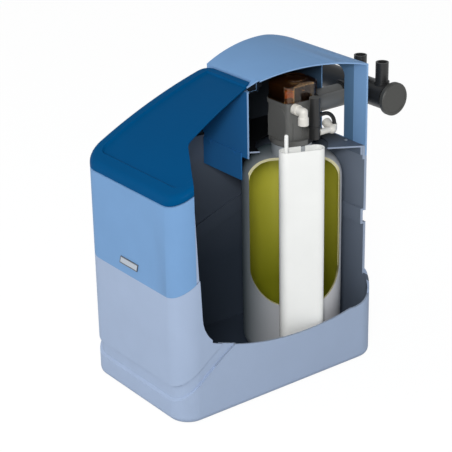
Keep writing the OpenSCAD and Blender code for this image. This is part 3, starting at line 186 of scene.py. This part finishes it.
add(tree, "ShaderNodeOutputWorld", None, {"Surface": mixed.outputs[0]})
print("world ready")

# %% [markdown]
# ## Lights
# Front, corner and side are almost equally bright and the inside is dark. So most of the light
# comes evenly from all round, and hollows darken by it; the insides' plastics also carry painted
# shade. A small soft box at the front right shines through the cut-away onto the vessel and the
# valve, and a large one at the front left lifts the front. A bare lamp would give hard shadows
# instead.

# %% Soft boxes
STUDIO_RADIUS = 3.2
MIDDLE = Vector((0.0, 0.0, 0.3))


def soft_box(name, side_deg, rise_deg, watts, size):
    side, rise = radians(side_deg), radians(rise_deg)
    towards = Vector((sin(side) * cos(rise), -cos(side) * cos(rise), sin(rise)))
    bpy.ops.object.light_add(type="AREA", location=MIDDLE + towards * STUDIO_RADIUS)
    lamp = bpy.context.object
    lamp.name = name
    lamp.data.size = size
    lamp.data.energy = watts
    lamp.rotation_euler = (-towards).to_track_quat("-Z", "Y").to_euler()


soft_box("front right box", 49, 28, watts=47, size=0.6)
soft_box("front left box", -30, 20, watts=22, size=2.0)
print("two soft boxes")

# %% [markdown]
# ## Moulded plastics
# Nearly everything here is moulded plastic. A mould leaves a very fine uneven skin, which
# breaks up reflections, and the colour drifts slightly where the melt cooled. A picture of
# plastic could be wrapped round each part, but noise in the part's own coordinates needs no
# unwrapping and keeps its real size. Each plastic gets its colour, its gloss and the size of
# that skin in millimetres. Some fade from one colour to another along a direction.

# %% How a plastic is made
CLOUD_MM = 60.0
COLOUR_DRIFT = 0.04
GLOSS_DRIFT = 0.05
SKIN_RELIEF_MM = 0.2
PLASTIC_IOR = 1.49
SKIN_MM, FIBRE_MM = 1.2, 0.8  # the real ones are finer; drawn this coarse so that they show
ACROSS, RISING, UP = (1.0, 0.0, 0.0), (0.7, 0.0, 0.7), (0.0, 0.0, 1.0)


def plastic(name, colour, roughness, skin_mm=SKIN_MM, skin_depth=0.05, shine=0.5,
            fade=None):
    material, tree = new_material(name)
    place = add(tree, "ShaderNodeTexCoord")
    cloud = add(tree, "ShaderNodeTexNoise", {"Scale": 1 / (CLOUD_MM * MM), "Detail": 3.0},
                {"Vector": place.outputs["Object"]})
    value = add(tree, "ShaderNodeMapRange",
                {"To Min": 1.0 - COLOUR_DRIFT, "To Max": 1.0 + COLOUR_DRIFT},
                {"Value": cloud.outputs["Fac"]})
    tint = add(tree, "ShaderNodeHueSaturation", {"Color": linear(colour)},
               {"Value": value.outputs["Result"]})
    if fade:
        course, start_mm, stop_mm, other = fade
        split = add(tree, "ShaderNodeVectorMath", {"operation": "DOT_PRODUCT", 1: course},
                    {0: place.outputs["Object"]})
        along = add(tree, "ShaderNodeMapRange",
                    {"From Min": start_mm * MM, "From Max": stop_mm * MM},
                    {"Value": split.outputs["Value"]})
        blend = add(tree, "ShaderNodeMixRGB", {1: linear(colour), 2: linear(other)},
                    {0: along.outputs["Result"]})
        tree.links.new(blend.outputs[0], tint.inputs["Color"])
    grain = add(tree, "ShaderNodeTexNoise", {"Scale": 1 / (skin_mm * MM), "Detail": 2.0},
                {"Vector": place.outputs["Object"]})
    gloss = add(tree, "ShaderNodeMapRange",
                {"To Min": roughness - GLOSS_DRIFT, "To Max": roughness + GLOSS_DRIFT},
                {"Value": grain.outputs["Fac"]})
    bump = add(tree, "ShaderNodeBump",
               {"Strength": skin_depth, "Distance": SKIN_RELIEF_MM * MM},
               {"Height": grain.outputs["Fac"]})
    shader = add(tree, "ShaderNodeBsdfPrincipled",
                 {"IOR": PLASTIC_IOR, "Specular IOR Level": shine},
                 {"Base Color": tint.outputs["Color"], "Roughness": gloss.outputs["Result"],
                  "Normal": bump.outputs["Normal"]})
    add(tree, "ShaderNodeOutputMaterial", None, {"Surface": shader.outputs[0]})
    return material


print("plastic recipe ready")

# %% [markdown]
# ## Cabinet plastics
# The tank is blow moulded polyethylene, and the cover and lid are injection moulded ABS. One
# colour for each would look like paper, so the insides get darker plastics with painted shade,
# fading with depth, and the sawn edges have a paler plastic of their own.

# %% Tank, cover and lid
# Blow moulded, so waxy: a wide faint highlight and no sharp reflection.
tank_pe = plastic("polyethylene, blow moulded, grey blue", "#a6b6d0", 0.6, shine=0.1)
# The tank's inside, with painted shade: slate, and paler up the far wall, where the painted
# shade is lighter.
tank_inside_shade = plastic("polyethylene, inside, painted shade", "#3a4452", 0.6, shine=0.2,
                      fade=(RISING, 0, 340, "#76808f"))
# The deck's moulded sheet, with painted shade: almost black in the shade under the hood, slate
# towards the open side.
deck_pe_shaded = plastic("polyethylene, deck, painted shade", "#0d0f12", 0.6, shine=0.2,
                  fade=(ACROSS, 10, 70, "#5f6a7a"))
# Satin ABS from a lightly etched mould: an even colour with soft edges of light.
cover_abs = plastic("ABS, moulded, mid blue", "#789fcb", 0.55, shine=0.1)
# The cover's inside, with painted shade: dull, dark deep in the hood and bluer near the opening,
# where light comes in.
cover_inside_shade = plastic("ABS, inside, painted shade", "#22272d", 0.55, shine=0.2,
                           fade=(ACROSS, -110, 40, "#557799"))
# The guard's and the hood front wall's ABS: the cover's blue darkened as painted shade, with a
# little more gloss.
shaded_blue_abs = plastic("ABS, deep blue, painted shade", "#2a70ae", 0.5, shine=0.2)
# The lid's ABS: a deep, saturated blue that stays dark under the light.
lid_abs = plastic("ABS, gloss, dark blue", "#004c7e", 0.42, shine=0.02)
# Sawn ABS: the blade whitens it, so the edge reads as a pale line.
cut_blue = plastic("cut edge of ABS, pale blue", "#86a8d0", 0.6, shine=0.2)
# Sawn polyethylene: matt and paler than the skin.
cut_grey = plastic("cut edge of polyethylene, pale grey", "#98a5ba", 0.6, shine=0.2)
# Near black, painted shade: it stands in the hood's end for the shade of a hollow.
shade_black = plastic("black, painted shade", "#0b0d10", 0.85, shine=0.1)
print("cabinet plastics ready")

# %% [markdown]
# ## Plastics of the works
# Inside are the wound vessel with its lining, the dark glass filled valve, and white tubes
# and fittings. They are told apart by gloss and grain as much as by colour.

# %% Vessel, valve and tubes
# Gel coat over glass fibre: a satin grey drum, with painted shade, dark and teal, on the left
# and painted light, pale, on the lit right.
vessel_frp_lit_and_shaded = plastic("glass fibre vessel, grey, painted light and shade", "#3c565e", 0.45,
                     fade=(ACROSS, -60, 115, "#d4d4d8"))
# The moulded lining: glossy olive, with painted shade that darkens it low down, more yellow
# towards the top.
liner_pe_shaded = plastic("polyethylene lining, olive, painted shade", "#8a8c1c", 0.4,
                   fade=(UP, 110, 330, "#cac745"))
# Sawn glass fibre: dry and cream, a thin bright rim round the window.
cut_cream = plastic("cut edge of glass fibre, cream", "#dcd5ac", 0.6)
# Glass filled PPO: fibres at the surface give a fine dull grain.
valve_ppo = plastic("glass filled PPO, dark grey", "#686866", 0.45,
                    skin_mm=FIBRE_MM, skin_depth=0.12)
# Glass filled nylon: the same grain, nearly black.
pipe_nylon = plastic("glass filled nylon, black", "#262626", 0.4,
                     skin_mm=FIBRE_MM, skin_depth=0.12)
# The knobs' nylon: greyer, as if worn by hands.
knob_nylon = plastic("glass filled nylon, grey", "#434340", 0.45,
                     skin_mm=FIBRE_MM, skin_depth=0.12)
# Acetal gears: smooth, slightly waxy and pink under the amber.
gear_pom = plastic("acetal, dusky pink", "#d09c90", 0.4)
# Acetal fittings: smooth warm white with small clear highlights.
fitting_pom = plastic("acetal, white", "#e8e4dc", 0.3)
# Extruded PVC: the whitest thing here, clean and even.
white_pvc = plastic("PVC tube, white", "#fbfbf8", 0.4)
# PVC of the hidden tubes: a duller, greyer white.
pale_pvc = plastic("PVC, pale grey", "#d9d7cf", 0.45)
# Moulded rubber: black with a dull bloom.
rubber = plastic("nitrile rubber, black", "#171717", 0.6)
# Closed cell foam: cream and quite matt.
foam = plastic("float foam, cream", "#e9e4cf", 0.7)
# The bare badge plate: smooth pale plastic that catches the light.
badge_pale = plastic("badge plate, pale", "#b4bcc6", 0.35)
print("plastics of the works ready")

# %% [markdown]
# ## Metals
# Screws, pins and the badge's frame are plated metal, and a small ring is gold lacquered.
# Polished metal would only need a low roughness. Plating is never quite even, so a fine haze
# in the roughness keeps the reflection from looking like a mirror's.

# %% Plated metals
METAL_GRAIN_MM = 1.5  # real plating grain is far finer; drawn this coarse so that it shows
PLATING_HAZE = 0.12


def metal(name, colour, roughness):
    material, tree = new_material(name)
    place = add(tree, "ShaderNodeTexCoord")
    grain = add(tree, "ShaderNodeTexNoise", {"Scale": 1000 / METAL_GRAIN_MM, "Detail": 3.0},
                {"Vector": place.outputs["Object"]})
    haze = add(tree, "ShaderNodeMapRange",
               {"To Min": roughness - PLATING_HAZE, "To Max": roughness + PLATING_HAZE},
               {"Value": grain.outputs["Fac"]})
    shader = add(tree, "ShaderNodeBsdfPrincipled",
                 {"Base Color": linear(colour), "Metallic": 1.0},
                 {"Roughness": haze.outputs["Result"]})
    add(tree, "ShaderNodeOutputMaterial", None, {"Surface": shader.outputs[0]})
    return material


# Zinc plate: a cool silver with a slightly milky shine.
zinc_steel = metal("zinc plated steel", "#c9ced3", 0.3)
# Satin chrome: darker, so the frame stands out round the pale plate.
badge_chrome = metal("chromed badge frame", "#6f7378", 0.3)
# Gold lacquer: a warm line of light under the amber.
ring_gold = metal("bezel ring, gold lacquer", "#f0c060", 0.35)
print("metals ready")

# %% [markdown]
# ## The amber cover
# The valve's cover is clear amber polycarbonate: it lets the gears show through and tints
# what is behind it. Real refraction through thin walls is slow and noisy, so the light goes
# straight through a tinted surface. A little brown, more of it near the top, stands for the
# thickness of the moulding, and a sharp reflection at grazing angles gives its gloss.

# %% Amber polycarbonate
TINT_FROM_Z, TINT_TO_Z = 556, 588
TINT_LOW, TINT_HIGH = 0.02, 0.1
POLYCARBONATE_IOR = 1.585
COVER_GLOSS = 0.08
# Clear but brown: dark as a whole, glowing where light comes through from behind.
amber, tree = new_material("polycarbonate, clear amber")
clear = add(tree, "ShaderNodeBsdfTransparent", {"Color": linear("#f6dcb4")})
brown = add(tree, "ShaderNodeBsdfDiffuse", {"Color": linear("#7a4416")})
place = add(tree, "ShaderNodeTexCoord")
split = add(tree, "ShaderNodeSeparateXYZ", None, {0: place.outputs["Object"]})
tint = add(tree, "ShaderNodeMapRange",
           {"From Min": TINT_FROM_Z * MM, "From Max": TINT_TO_Z * MM,
            "To Min": TINT_LOW, "To Max": TINT_HIGH}, {"Value": split.outputs["Z"]})
murk = add(tree, "ShaderNodeMixShader", None,
           {0: tint.outputs["Result"], 1: clear.outputs[0], 2: brown.outputs[0]})
gleam = add(tree, "ShaderNodeBsdfGlossy", {"Roughness": COVER_GLOSS})
edge = add(tree, "ShaderNodeFresnel", {"IOR": POLYCARBONATE_IOR})
skin = add(tree, "ShaderNodeMixShader", None,
           {0: edge.outputs[0], 1: murk.outputs[0], 2: gleam.outputs[0]})
add(tree, "ShaderNodeOutputMaterial", None, {"Surface": skin.outputs[0]})
print("amber ready")

# %% [markdown]
# ## Dress the CAD nodes
# Every CAD node first gets its finish. Nodes whose edges are too sharp for a moulded part
# are copied and softened in the next steps, and the copy takes the same finish.

# %% Finishes by node
FINISH = {
    tank_pe: ["brine_tank"],
    deck_pe_shaded: ["tank_deck"],
    cover_abs: ["top_cover"],
    shaded_blue_abs: ["salt_guard", "guard_rivets"],
    lid_abs: ["salt_lid"],
    zinc_steel: ["deck_screws", "lid_hinge_pins", "gear_posts"],
    badge_chrome: ["badge_frame"],
    badge_pale: ["badge_plate"],
    vessel_frp_lit_and_shaded: ["vessel_shell"],
    liner_pe_shaded: ["vessel_liner"],
    rubber: ["neck_seal", "drain_hose", "spool_seals", "float_stop"],
    pale_pvc: ["riser_tube", "lower_distributor", "upper_distributor"],
    valve_ppo: ["valve_body", "valve_cap", "bypass_spool", "inlet_pipe", "outlet_pipe"],
    gear_pom: ["program_gear", "meter_gear"],
    amber: ["valve_cover"],
    fitting_pom: ["brine_elbow", "brine_elbow_nut", "drain_elbow", "drain_elbow_nut"],
    pipe_nylon: ["pipe_clip", "bypass_body", "bypass_end_cap"],
    knob_nylon: ["bypass_knob", "bypass_left_knob"],
    white_pvc: ["brine_well", "brine_rod", "air_check"],
    foam: ["brine_float"],
}
for material, names in FINISH.items():
    for name in names:
        nodes[name].data.materials.clear()
        nodes[name].data.materials.append(material)
print("dressed", sum(len(names) for names in FINISH.values()), "nodes")

# %% [markdown]
# ## Softened edges
# No moulded edge is knife sharp. Each edge could be bevelled by hand, but there are hundreds.
# So a copy of the CAD mesh is merged, its flat faces are joined, and a Bevel modifier rounds
# every edge that turns by more than a set angle. Weighted normals then keep the large faces
# looking flat next to their rounded edges.

# %% A softened copy of a node
MERGE_MM = 0.004
FLAT_DEG, SHARP_DEG, SMOOTH_DEG = 0.6, 32, 40
bodies = frame["record"]["behaviour"]["bodies"]
body_of = {name: body for body, names in bodies.items() for name in names}


def soften(name, edge_mm, segments=2, cutter=None):
    bpy.ops.object.select_all(action="DESELECT")
    piece = bpy.data.objects.new(name + "_soft", nodes[name].data.copy())
    bpy.context.collection.objects.link(piece)
    bpy.context.view_layer.objects.active = piece
    piece.select_set(True)
    bpy.ops.object.mode_set(mode="EDIT")
    bpy.ops.mesh.select_all(action="SELECT")
    bpy.ops.mesh.remove_doubles(threshold=MERGE_MM * MM)
    bpy.ops.mesh.dissolve_limited(angle_limit=radians(FLAT_DEG))
    bpy.ops.object.mode_set(mode="OBJECT")
    if cutter:
        cut = piece.modifiers.new("cut", "BOOLEAN")
        cut.object = cutter
        bpy.ops.object.modifier_apply(modifier=cut.name)
    edges = piece.modifiers.new("rounded edges", "BEVEL")
    edges.limit_method = "ANGLE"
    edges.angle_limit = radians(SHARP_DEG)
    edges.width = edge_mm * MM
    edges.segments = segments
    bpy.ops.object.modifier_apply(modifier=edges.name)
    bpy.ops.object.shade_smooth_by_angle(angle=radians(SMOOTH_DEG))
    flats = piece.modifiers.new("flat faces", "WEIGHTED_NORMAL")
    flats.keep_sharp = True
    bpy.ops.object.modifier_apply(modifier=flats.name)
    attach(piece, body_of[name])
    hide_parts(name)
    return piece


def paint(piece, material, belongs):
    piece.data.materials.append(material)
    index = len(piece.data.materials) - 1
    painted = 0
    for face in piece.data.polygons:
        if belongs(face.center / MM, face.normal):
            face.material_index = index
            painted += 1
    print(piece.name, "painted", painted, "faces with", material.name)


# %% [markdown]
# ## Insides and cut faces
# The cabinet is shown sawn open, so its walls have three looks: the outside, the shaded
# inside, and the pale sawn edge. They could be separate parts, but they are one moulding.
# So its faces are told apart by how deep they lie in from the cabinet's outline, by how near
# they are to the saw cut, and by which way they look. Places are in millimetres.

# %% Tests for a face
low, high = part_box("brine_tank")
HALF_W, HALF_D = high[0] / MM, high[1] / MM
CORNER = 45.0
CUT_FROM, CUT_TO = Vector((-8.0, 44.0, 0.0)), Vector((117.0, 250.0, 0.0))
cut_line = (CUT_TO - CUT_FROM).normalized()
cut_normal = Vector((cut_line.y, -cut_line.x, 0.0))
SIDE_NORMAL = Vector((0.529, 0.849, 0.0))
NEAR_CUT, ALONG_CUT, SIDE_SHARE = 1.5, 0.97, 0.8
SILL, SILL_ROOM = 112.0, 3
WALL_ROOM, REAR_ROOM = 12, 20
GROOVE_Y, GROOVE_Z = -165, 135
TANK_WALL, TANK_HALF_WALL, COVER_WALL = 5.6, 3.0, 2.4
RISER_Y, HOOD_WALL_Y = (58, 64), (35, 50)


def depth(p):
    across, along = abs(p.x) - HALF_W + CORNER, abs(p.y) - HALF_D + CORNER
    if across > 0 and along > 0:
        return CORNER - Vector((across, along)).length
    return CORNER - max(across, along)


def sawn(p, n):
    near = abs((p - CUT_FROM).dot(cut_normal)) < NEAR_CUT
    on_cut = near and n.dot(cut_normal) > ALONG_CUT
    return on_cut or (n.dot(SIDE_NORMAL) > ALONG_CUT and p.x > SIDE_SHARE * HALF_W)


def window_edge(p, n):
    on_right_wall = p.x > HALF_W - WALL_ROOM and abs(n.x) < 0.3
    in_groove = p.y < GROOVE_Y and p.z < GROOVE_Z
    in_window = p.z > SILL - SILL_ROOM and p.y < HALF_D - REAR_ROOM
    return on_right_wall and in_window and not in_groove


def inside_tank(p, n):
    looks_in = n.x * p.x + n.y * p.y < 0
    return depth(p) > TANK_WALL or (depth(p) > TANK_HALF_WALL and looks_in)


def inside_cover(p, n):
    outside = n.z > 0.5 or (n.y < -0.5 and RISER_Y[0] < p.y < RISER_Y[1])
    return depth(p) > COVER_WALL and not outside


def hood_wall(p, n):
    return n.y < -0.8 and HOOD_WALL_Y[0] < p.y < HOOD_WALL_Y[1]


print("cabinet half width and half depth", round(HALF_W, 1), round(HALF_D, 1), "mm")

# %% [markdown]
# ## The tank
# The window's sill dips in a long shallow curve. The curve is a piece of a very large
# cylinder, laid along the cabinet's width and subtracted from the tank's copy. Moving the
# sill's points one by one would leave it uneven.

# %% Scoop the sill and paint the tank
SCOOP_R, SCOOP_WIDTH, SCOOP_SIDES = 598, 28, 360
SCOOP_AT = Vector((162.0, 60.0, 712.0))
SCOOP_FRONT_Y = -176
TANK_EDGE_MM = 1.6
bpy.ops.object.select_all(action="DESELECT")
bpy.ops.mesh.primitive_cylinder_add(vertices=SCOOP_SIDES, radius=SCOOP_R * MM,
                                    depth=SCOOP_WIDTH * MM, rotation=(0, radians(90), 0),
                                    location=SCOOP_AT * MM)
scoop = bpy.context.object
bpy.ops.object.transform_apply(location=True, rotation=True, scale=True)
bpy.ops.object.mode_set(mode="EDIT")
bpy.ops.mesh.select_all(action="SELECT")
bpy.ops.mesh.bisect(plane_co=(0.0, SCOOP_FRONT_Y * MM, 0.0), plane_no=(0.0, 1.0, 0.0),
                    clear_inner=True, use_fill=True)
bpy.ops.object.mode_set(mode="OBJECT")
tank = soften("brine_tank", TANK_EDGE_MM, segments=3, cutter=scoop)
bpy.data.objects.remove(scoop)
# Painted shade: the tank's inside faces get the darker inside plastic.
paint(tank, tank_inside_shade, inside_tank)
paint(tank, cut_grey, lambda p, n: sawn(p, n) or window_edge(p, n))

# %% [markdown]
# ## The cover and the deck
# The cover is one moulding of shroud and hood. It is bisected where a colour ends inside a
# large face, because a face can have only one material: at the upright strip beside the rear
# opening, and at the two ends of the step under the lid.

# %% Paint the cover and the deck
PILASTER_X, PILASTER_Y, PILASTER_Z = 78.0, 150, 450
STEP_YS, STEP_Z = [47.5, 66.0], 560
COVER_EDGE_MM, DECK_EDGE_MM = 0.9, 0.7
cover = soften("top_cover", COVER_EDGE_MM)
bpy.ops.object.mode_set(mode="EDIT")
bpy.ops.mesh.select_all(action="SELECT")
bpy.ops.mesh.bisect(plane_co=(PILASTER_X * MM, 0.0, 0.0), plane_no=(1.0, 0.0, 0.0))
for step_y in STEP_YS:
    bpy.ops.mesh.select_all(action="SELECT")
    bpy.ops.mesh.bisect(plane_co=(0.0, step_y * MM, 0.0), plane_no=(0.0, 1.0, 0.0))
bpy.ops.object.mode_set(mode="OBJECT")


def pilaster(p, n):
    return inside_cover(p, n) and p.x > PILASTER_X and p.y > PILASTER_Y and p.z > PILASTER_Z


def sawn_step_in_shade(p, n):
    return sawn(p, n) and STEP_YS[0] < p.y < STEP_YS[1] and p.z > STEP_Z


# Painted shade on the cover's inside faces; the strip beside the rear opening keeps the outside
# blue, as it lies in the light.
paint(cover, cover_inside_shade, inside_cover)
# Painted shade: the hood's front wall gets the darker copy of the cover's blue.
paint(cover, shaded_blue_abs, hood_wall)
paint(cover, cover_abs, pilaster)
paint(cover, cut_blue, sawn)
# Painted shade: the sawn faces of the step under the lid are painted near black.
paint(cover, shade_black, sawn_step_in_shade)
deck = soften("tank_deck", DECK_EDGE_MM)
paint(deck, cut_grey, sawn)

# %% [markdown]
# ## End of the hood beside the lid
# Beside the lid's sawn end the hood runs straight on to its front wall. It is a thin plate over
# a near black filling, painted shade that stands for the hollow under it, each made from a cube
# that is tilted to the roof's slope and trimmed along the saw cut, so that the step under the
# lid doesn't show.

# %% The hood's end
END_FROM, END_TO = Vector((0.0, 43.6, 582.5)), Vector((0.0, 64.0, 597.0))
END_MID_X, END_W = 1.5, 24.0
slope = END_TO - END_FROM
down = Vector((0.0, slope.z, -slope.y)).normalized()
# Each layer's thickness, how far it lies under the roof, and how far behind the saw cut.
END_LAYERS = {"hood_end_plate": (2.6, 0.0, 0.0), "hood_end_filling": (12.0, 7.0, 0.6)}
for name, (thick, drop, back) in END_LAYERS.items():
    bpy.ops.object.select_all(action="DESELECT")
    bpy.ops.mesh.primitive_cube_add(size=1.0)
    layer = bpy.context.object
    layer.name = name
    layer.scale = Vector((END_W, slope.length, thick)) * MM
    layer.rotation_euler.x = atan2(slope.z, slope.y)
    layer.location = ((END_FROM + END_TO) / 2 + Vector((END_MID_X, 0.0, 0.0)) + down * drop) * MM
    bpy.ops.object.transform_apply(location=True, rotation=True, scale=True)
    bpy.ops.object.mode_set(mode="EDIT")
    bpy.ops.mesh.select_all(action="SELECT")
    bpy.ops.mesh.bisect(plane_co=(CUT_FROM - cut_normal * back) * MM, plane_no=cut_normal,
                        clear_outer=True, use_fill=True)
    bpy.ops.object.mode_set(mode="OBJECT")
    # The filling gets the near black painted shade, the plate the cover's blue.
    layer.data.materials.append(shade_black if drop else cover_abs)
    if not drop:
        paint(layer, cut_blue, sawn)
    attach(layer, "cabinet")
print("hood's end:", list(END_LAYERS))

# %% [markdown]
# ## The vessel's sawn window
# The shell is glass fibre wound over a plastic lining. Where it is sawn, both walls show a
# thin cream edge. It could be a separate rim, but it is the wall itself: a face belongs to
# the edge when it lies on the saw cut or inside the wall's thickness.

# %% Vessel shell and lining
low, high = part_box("vessel_shell")
VESSEL_R = (high[0] - low[0]) / MM / 2
AXIS = Vector(((high[0] + low[0]) / MM / 2, high[1] / MM - VESSEL_R, 0.0))
SHOULDER_R, NECK_H = 50.0, 23.0
SHOULDER_Z = high[2] / MM - NECK_H - SHOULDER_R
WINDOW_FOOT, WINDOW_TOP = 120, SHOULDER_Z + SHOULDER_R + 5
VESSEL_CUT, NEAR_VESSEL_CUT = 33.0, 1.2
SHELL_EDGE_MM, LINING_EDGE_MM = 0.4, 0.3
SHELL_WALL, LINING_WALL = (0.5, 2.5), (3.5, 5.0)


def under_skin(p):
    out = Vector((p.x - AXIS.x, p.y - AXIS.y)).length
    if p.z > SHOULDER_Z and out > VESSEL_R - SHOULDER_R:
        return SHOULDER_R - Vector((out - VESSEL_R + SHOULDER_R, p.z - SHOULDER_Z)).length
    return VESSEL_R - out


def vessel_sawn(p, n):
    off_cut = abs((p - AXIS).dot(cut_normal) - VESSEL_CUT)
    return off_cut < NEAR_VESSEL_CUT and n.dot(cut_normal) > 0.9


def in_wall(p, wall):
    return wall[0] < under_skin(p) < wall[1] and WINDOW_FOOT < p.z < WINDOW_TOP


shell = soften("vessel_shell", SHELL_EDGE_MM)
paint(shell, cut_cream, lambda p, n: vessel_sawn(p, n) or in_wall(p, SHELL_WALL))
lining = soften("vessel_liner", LINING_EDGE_MM)
paint(lining, cut_cream, lambda p, n: vessel_sawn(p, n) or in_wall(p, LINING_WALL))

# %% [markdown]
# ## Smaller mouldings
# The valve, the fittings, the bypass and the well get finer edges, each as wide as its wall
# allows. The lower part of the upright tube on the valve's right is given the near black nylon.

# %% Soften the smaller parts
EDGE_MM = {
    0.8: ["salt_guard", "valve_body", "valve_cap", "bypass_body", "bypass_knob",
          "bypass_left_knob", "bypass_end_cap"],
    0.6: ["inlet_pipe", "outlet_pipe", "pipe_clip", "brine_well", "air_check"],
    0.5: ["brine_elbow", "brine_elbow_nut", "drain_elbow", "drain_elbow_nut", "badge_frame"],
    0.3: ["guard_rivets", "badge_plate", "deck_screws", "float_stop", "valve_cover",
          "drain_hose", "brine_rod"],
}
TOWER_X, TOWER_Y, TOWER_TOP = 49.5, 145, 530
soft = {}
for edge_mm, names in EDGE_MM.items():
    for name in names:
        soft[name] = soften(name, edge_mm)
paint(soft["valve_body"], pipe_nylon,
      lambda p, n: p.x > TOWER_X and p.y > TOWER_Y and p.z < TOWER_TOP)
print("softened", len(soft), "smaller parts")

# %% [markdown]
# ## Cam drums on the gears
# Each gear carries a short tube with the cams that work the valve. It could be a solid disc
# with a hole cut in it. An open cylinder that a Solidify modifier gives its wall is simpler.
# It stands on the gear and turns with it.

# %% Two cam drums
DRUMS = {"program_gear": (Vector((0.4, 126.3, 0.0)), 15.0),
         "meter_gear": (Vector((28.55, 147.51, 0.0)), 11.0)}
DRUM_FROM, DRUM_TO, DRUM_WALL, DRUM_SIDES = 561.0, 567.0, 2.2, 64
for name, (centre, radius) in DRUMS.items():
    bpy.ops.object.select_all(action="DESELECT")
    centre.z = (DRUM_FROM + DRUM_TO) / 2
    bpy.ops.mesh.primitive_cylinder_add(vertices=DRUM_SIDES, radius=radius * MM,
                                        depth=(DRUM_TO - DRUM_FROM) * MM,
                                        end_fill_type="NOTHING", location=centre * MM)
    drum = bpy.context.object
    drum.name = name + "_drum"
    bpy.ops.object.transform_apply(location=True, rotation=True, scale=True)
    wall = drum.modifiers.new("wall", "SOLIDIFY")
    wall.thickness = DRUM_WALL * MM
    bpy.ops.object.modifier_apply(modifier=wall.name)
    bpy.ops.object.shade_smooth_by_angle(angle=radians(SMOOTH_DEG))
    drum.data.materials.append(gear_pom)
    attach(drum, body_of[name])
print("two drums")

# %% [markdown]
# ## Bezel ring in the cover
# A gold ring lies inside the amber cover, above the drums, and is glued to the cover's right
# wall. It could be spun from a drawn section. A torus that is pressed flat in edit mode gives
# the same stamped ring.

# %% The bezel ring
RING_AT = Vector((16.0, 144.4, 569.8))
RING_R, RING_WIRE_R, RING_PRESS = 28.8, 1.4, 0.7
bpy.ops.object.select_all(action="DESELECT")
bpy.ops.mesh.primitive_torus_add(major_radius=RING_R * MM, minor_radius=RING_WIRE_R * MM,
                                 major_segments=96, minor_segments=12, location=RING_AT * MM)
ring = bpy.context.object
ring.name = "bezel_ring"
bpy.ops.object.transform_apply(location=True, rotation=True, scale=True)
bpy.ops.object.mode_set(mode="EDIT")
bpy.ops.mesh.select_all(action="SELECT")
bpy.ops.transform.resize(value=(1.0, 1.0, RING_PRESS), center_override=RING_AT * MM)
bpy.ops.object.mode_set(mode="OBJECT")
bpy.ops.object.shade_smooth()
ring.data.materials.append(ring_gold)
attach(ring, "cabinet")
print("bezel ring")
